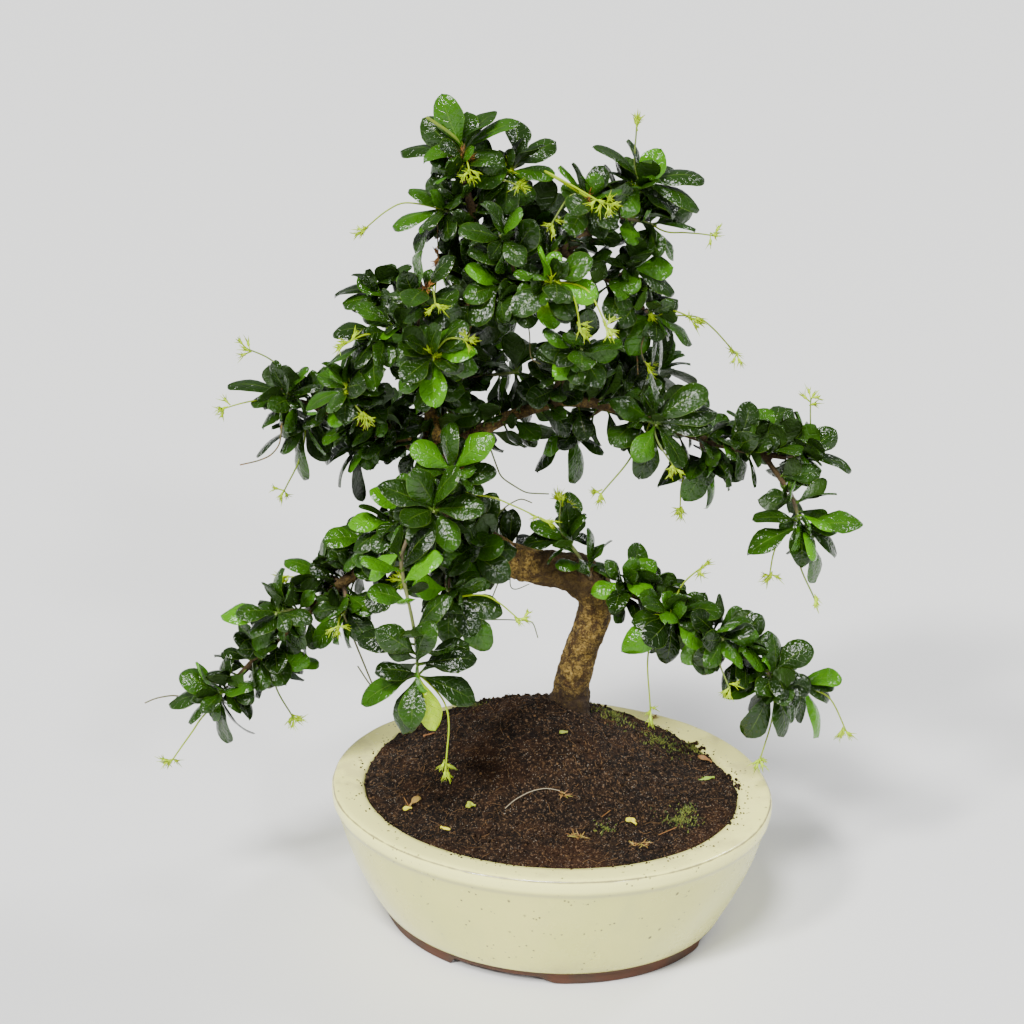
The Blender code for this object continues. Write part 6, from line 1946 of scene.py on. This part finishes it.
def build_stage(settings):
    """A plain pale floor, soft lights and the camera."""
    bpy.ops.mesh.primitive_plane_add(size=FLOOR_SIZE)
    floor = bpy.context.object
    floor.name = "floor"
    made, graph, shader = new_material("pale_floor")
    finish_with(graph, shader, settings.floor, FLOOR_ROUGHNESS)
    floor.data.materials.append(made)
    for name, at, width, strength, colour in LIGHTS:
        light = bpy.data.lights.new(name, "SUN")
        light.angle = math.radians(width)
        light.energy = strength * settings.light
        light.color = colour
        lamp = bpy.data.objects.new(name, light)
        lamp.location = at
        lamp.rotation_euler = (-Vector(at)).to_track_quat("-Z", "Y").to_euler()
        bpy.context.scene.collection.objects.link(lamp)
    world = bpy.data.worlds.new("studio")
    world.use_nodes = True
    sky = world.node_tree.nodes["Background"]
    sky.inputs["Color"].default_value = SKY_COLOUR
    sky.inputs["Strength"].default_value = settings.sky
    bpy.context.scene.world = world
    camera = bpy.data.objects.new("camera", bpy.data.cameras.new("camera"))
    camera.location = EYE * MM + POT_AT
    camera.rotation_euler = (math.pi / 2 - CAMERA_DOWN, 0.0, 0.0)
    camera.data.lens = CAMERA_LENS
    camera.data.sensor_width = 36.0
    camera.data.clip_start = 0.01
    bpy.context.scene.collection.objects.link(camera)
    bpy.context.scene.camera = camera


# Add-on


def colour_setting(name, description, value):
    return bpy.props.FloatVectorProperty(name=name, description=description, subtype="COLOR", size=3, min=0.0,
                                         max=1.0, default=value)


def factor_setting(name, description, value, high=1.0):
    return bpy.props.FloatProperty(name=name, description=description, subtype="FACTOR", min=0.0, max=high,
                                   default=value)


class BonsaiPotSettings(bpy.types.PropertyGroup):
    """Sizes and colours of the pot"""
    glaze: colour_setting("Glaze", "Colour of the glaze on the body", (0.74, 0.71, 0.205))
    # Rim: lighter than the body's glaze, partly its own colour and partly a painted highlight on the lit top.
    rim: colour_setting("Rim", "Colour of the glaze on the lip and the rim", (1.0, 0.97, 0.32))
    clay: colour_setting("Clay", "Colour of the bare clay foot", (0.07, 0.020, 0.006))
    specks: factor_setting("Specks", "How dark the pits in the glaze are", 0.8)
    wobble: bpy.props.FloatProperty(name="Wobble", description="How far the hand-made wall strays",
                                    default=0.0009, min=0.0, max=0.003, unit="LENGTH")


class BonsaiSoilSettings(bpy.types.PropertyGroup):
    """Colours of the soil and what lies on it"""
    dark: colour_setting("Moist Soil", "Colour of the moist soil", (0.012, 0.006, 0.003))
    red: colour_setting("Fibre", "Colour of the fibrous patches", (0.08, 0.03, 0.010))
    moss: colour_setting("Moss", "Colour of the moss", (0.09, 0.12, 0.015))
    crumbs: factor_setting("Crumbs", "Share of the loose crumbs", 1.0, 1.5)


class BonsaiBarkSettings(bpy.types.PropertyGroup):
    """Colours of the bark"""
    tan: colour_setting("Tan", "Colour of the light bark plates", (0.40, 0.255, 0.055))
    brown: colour_setting("Brown", "Colour of the dark bark", (0.085, 0.042, 0.012))
    cracks: factor_setting("Cracks", "Depth of the cracks", 1.0, 2.0)


class BonsaiLeafSettings(bpy.types.PropertyGroup):
    """Colours and number of the leaves"""
    dark: colour_setting("Old Leaf", "Colour of the old leaves", (0.015, 0.044, 0.003))
    green: colour_setting("Leaf", "Colour of the grown leaves", (0.052, 0.18, 0.003))
    young: colour_setting("Young Leaf", "Colour of the young leaves", (0.076, 0.265, 0.0015))
    yellow: colour_setting("Pale Leaf", "Colour of the palest leaves", (0.42, 0.62, 0.001))
    under: colour_setting("Underside", "Colour that the undersides lean to", (0.04, 0.09, 0.010))
    bud: colour_setting("Bud", "Colour of the fresh calyxes", (0.42, 0.60, 0.002))
    pebble: factor_setting("Pebble", "Strength of the pebbled leaf surface", 0.85)
    further: bpy.props.IntProperty(name="Further Leaves", default=16, min=0, max=24,
                                   description="Leaves tried on each shoot besides the planned ones")
    fullness: factor_setting("Fullness", "Share of the further leaves", 1.0, 1.5)


class BonsaiStageSettings(bpy.types.PropertyGroup):
    """Floor and light"""
    floor: colour_setting("Floor", "Colour of the floor", (0.78, 0.78, 0.77))
    light: factor_setting("Light", "Strength of the studio lights", 1.0, 4.0)
    sky: factor_setting("Sky", "Strength of the light from all round", 0.31, 4.0)


class BONSAI_OT_pot(bpy.types.Operator):
    """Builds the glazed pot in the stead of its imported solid"""
    bl_idname = "bonsai.pot"
    bl_label = "Pot"

    def execute(self, context):
        build_pot(context.scene.bonsai_pot)
        return {"FINISHED"}


class BONSAI_OT_screens(bpy.types.Operator):
    """Gives the drain screens their black plastic"""
    bl_idname = "bonsai.screens"
    bl_label = "Drain Screens"

    def execute(self, context):
        dress_screens()
        return {"FINISHED"}


class BONSAI_OT_soil(bpy.types.Operator):
    """Builds the bed of soil"""
    bl_idname = "bonsai.soil"
    bl_label = "Soil"

    def execute(self, context):
        build_soil(context.scene.bonsai_soil)
        return {"FINISHED"}


class BONSAI_OT_ground_cover(bpy.types.Operator):
    """Scatters crumbs, fibres, moss and litter over the soil"""
    bl_idname = "bonsai.ground_cover"
    bl_label = "Crumbs and Moss"

    def execute(self, context):
        build_ground_cover(context.scene.bonsai_soil)
        return {"FINISHED"}


class BONSAI_OT_bark(bpy.types.Operator):
    """Builds the trunk and its branches as one skin of bark"""
    bl_idname = "bonsai.bark"
    bl_label = "Bark"

    def execute(self, context):
        build_bark(context.scene.bonsai_bark)
        return {"FINISHED"}


class BONSAI_OT_sprays(bpy.types.Operator):
    """Builds every leafy shoot with its buds"""
    bl_idname = "bonsai.sprays"
    bl_label = "Leafy Shoots"

    def execute(self, context):
        build_sprays(context.scene.bonsai_leaf)
        return {"FINISHED"}


class BONSAI_OT_stage(bpy.types.Operator):
    """Adds the floor, the lights and the camera"""
    bl_idname = "bonsai.stage"
    bl_label = "Stage"

    def execute(self, context):
        build_stage(context.scene.bonsai_stage)
        return {"FINISHED"}


OPERATORS = (BONSAI_OT_stage, BONSAI_OT_pot, BONSAI_OT_screens, BONSAI_OT_soil, BONSAI_OT_ground_cover,
             BONSAI_OT_bark, BONSAI_OT_sprays)
SETTINGS = {"bonsai_pot": BonsaiPotSettings, "bonsai_soil": BonsaiSoilSettings,
            "bonsai_bark": BonsaiBarkSettings, "bonsai_leaf": BonsaiLeafSettings,
            "bonsai_stage": BonsaiStageSettings}


class BONSAI_PT_panel(bpy.types.Panel):
    """Lists the pieces of the bonsai and their settings"""
    bl_label = "Fukien Tea Bonsai"
    bl_idname = "BONSAI_PT_panel"
    bl_space_type = "VIEW_3D"
    bl_region_type = "UI"
    bl_category = "Bonsai"

    def draw(self, context):
        for operator in OPERATORS:
            self.layout.operator(operator.bl_idname)
        for name, kind in SETTINGS.items():
            box = self.layout.box()
            for entry in kind.__annotations__:
                box.prop(getattr(context.scene, name), entry)


def register():
    for kind in (*SETTINGS.values(), *OPERATORS, BONSAI_PT_panel):
        bpy.utils.register_class(kind)
    for name, kind in SETTINGS.items():
        setattr(bpy.types.Scene, name, bpy.props.PointerProperty(type=kind))


def unregister():
    for name in SETTINGS:
        delattr(bpy.types.Scene, name)
    for kind in (BONSAI_PT_panel, *reversed(OPERATORS), *reversed(SETTINGS.values())):
        bpy.utils.unregister_class(kind)


def main():
    register()
    bpy.ops.bonsai.stage()
    bpy.ops.bonsai.pot()
    bpy.ops.bonsai.screens()
    bpy.ops.bonsai.soil()
    bpy.ops.bonsai.ground_cover()
    bpy.ops.bonsai.bark()
    bpy.ops.bonsai.sprays()
    bpy.context.view_layer.update()


if __name__ == "__main__":
    main()
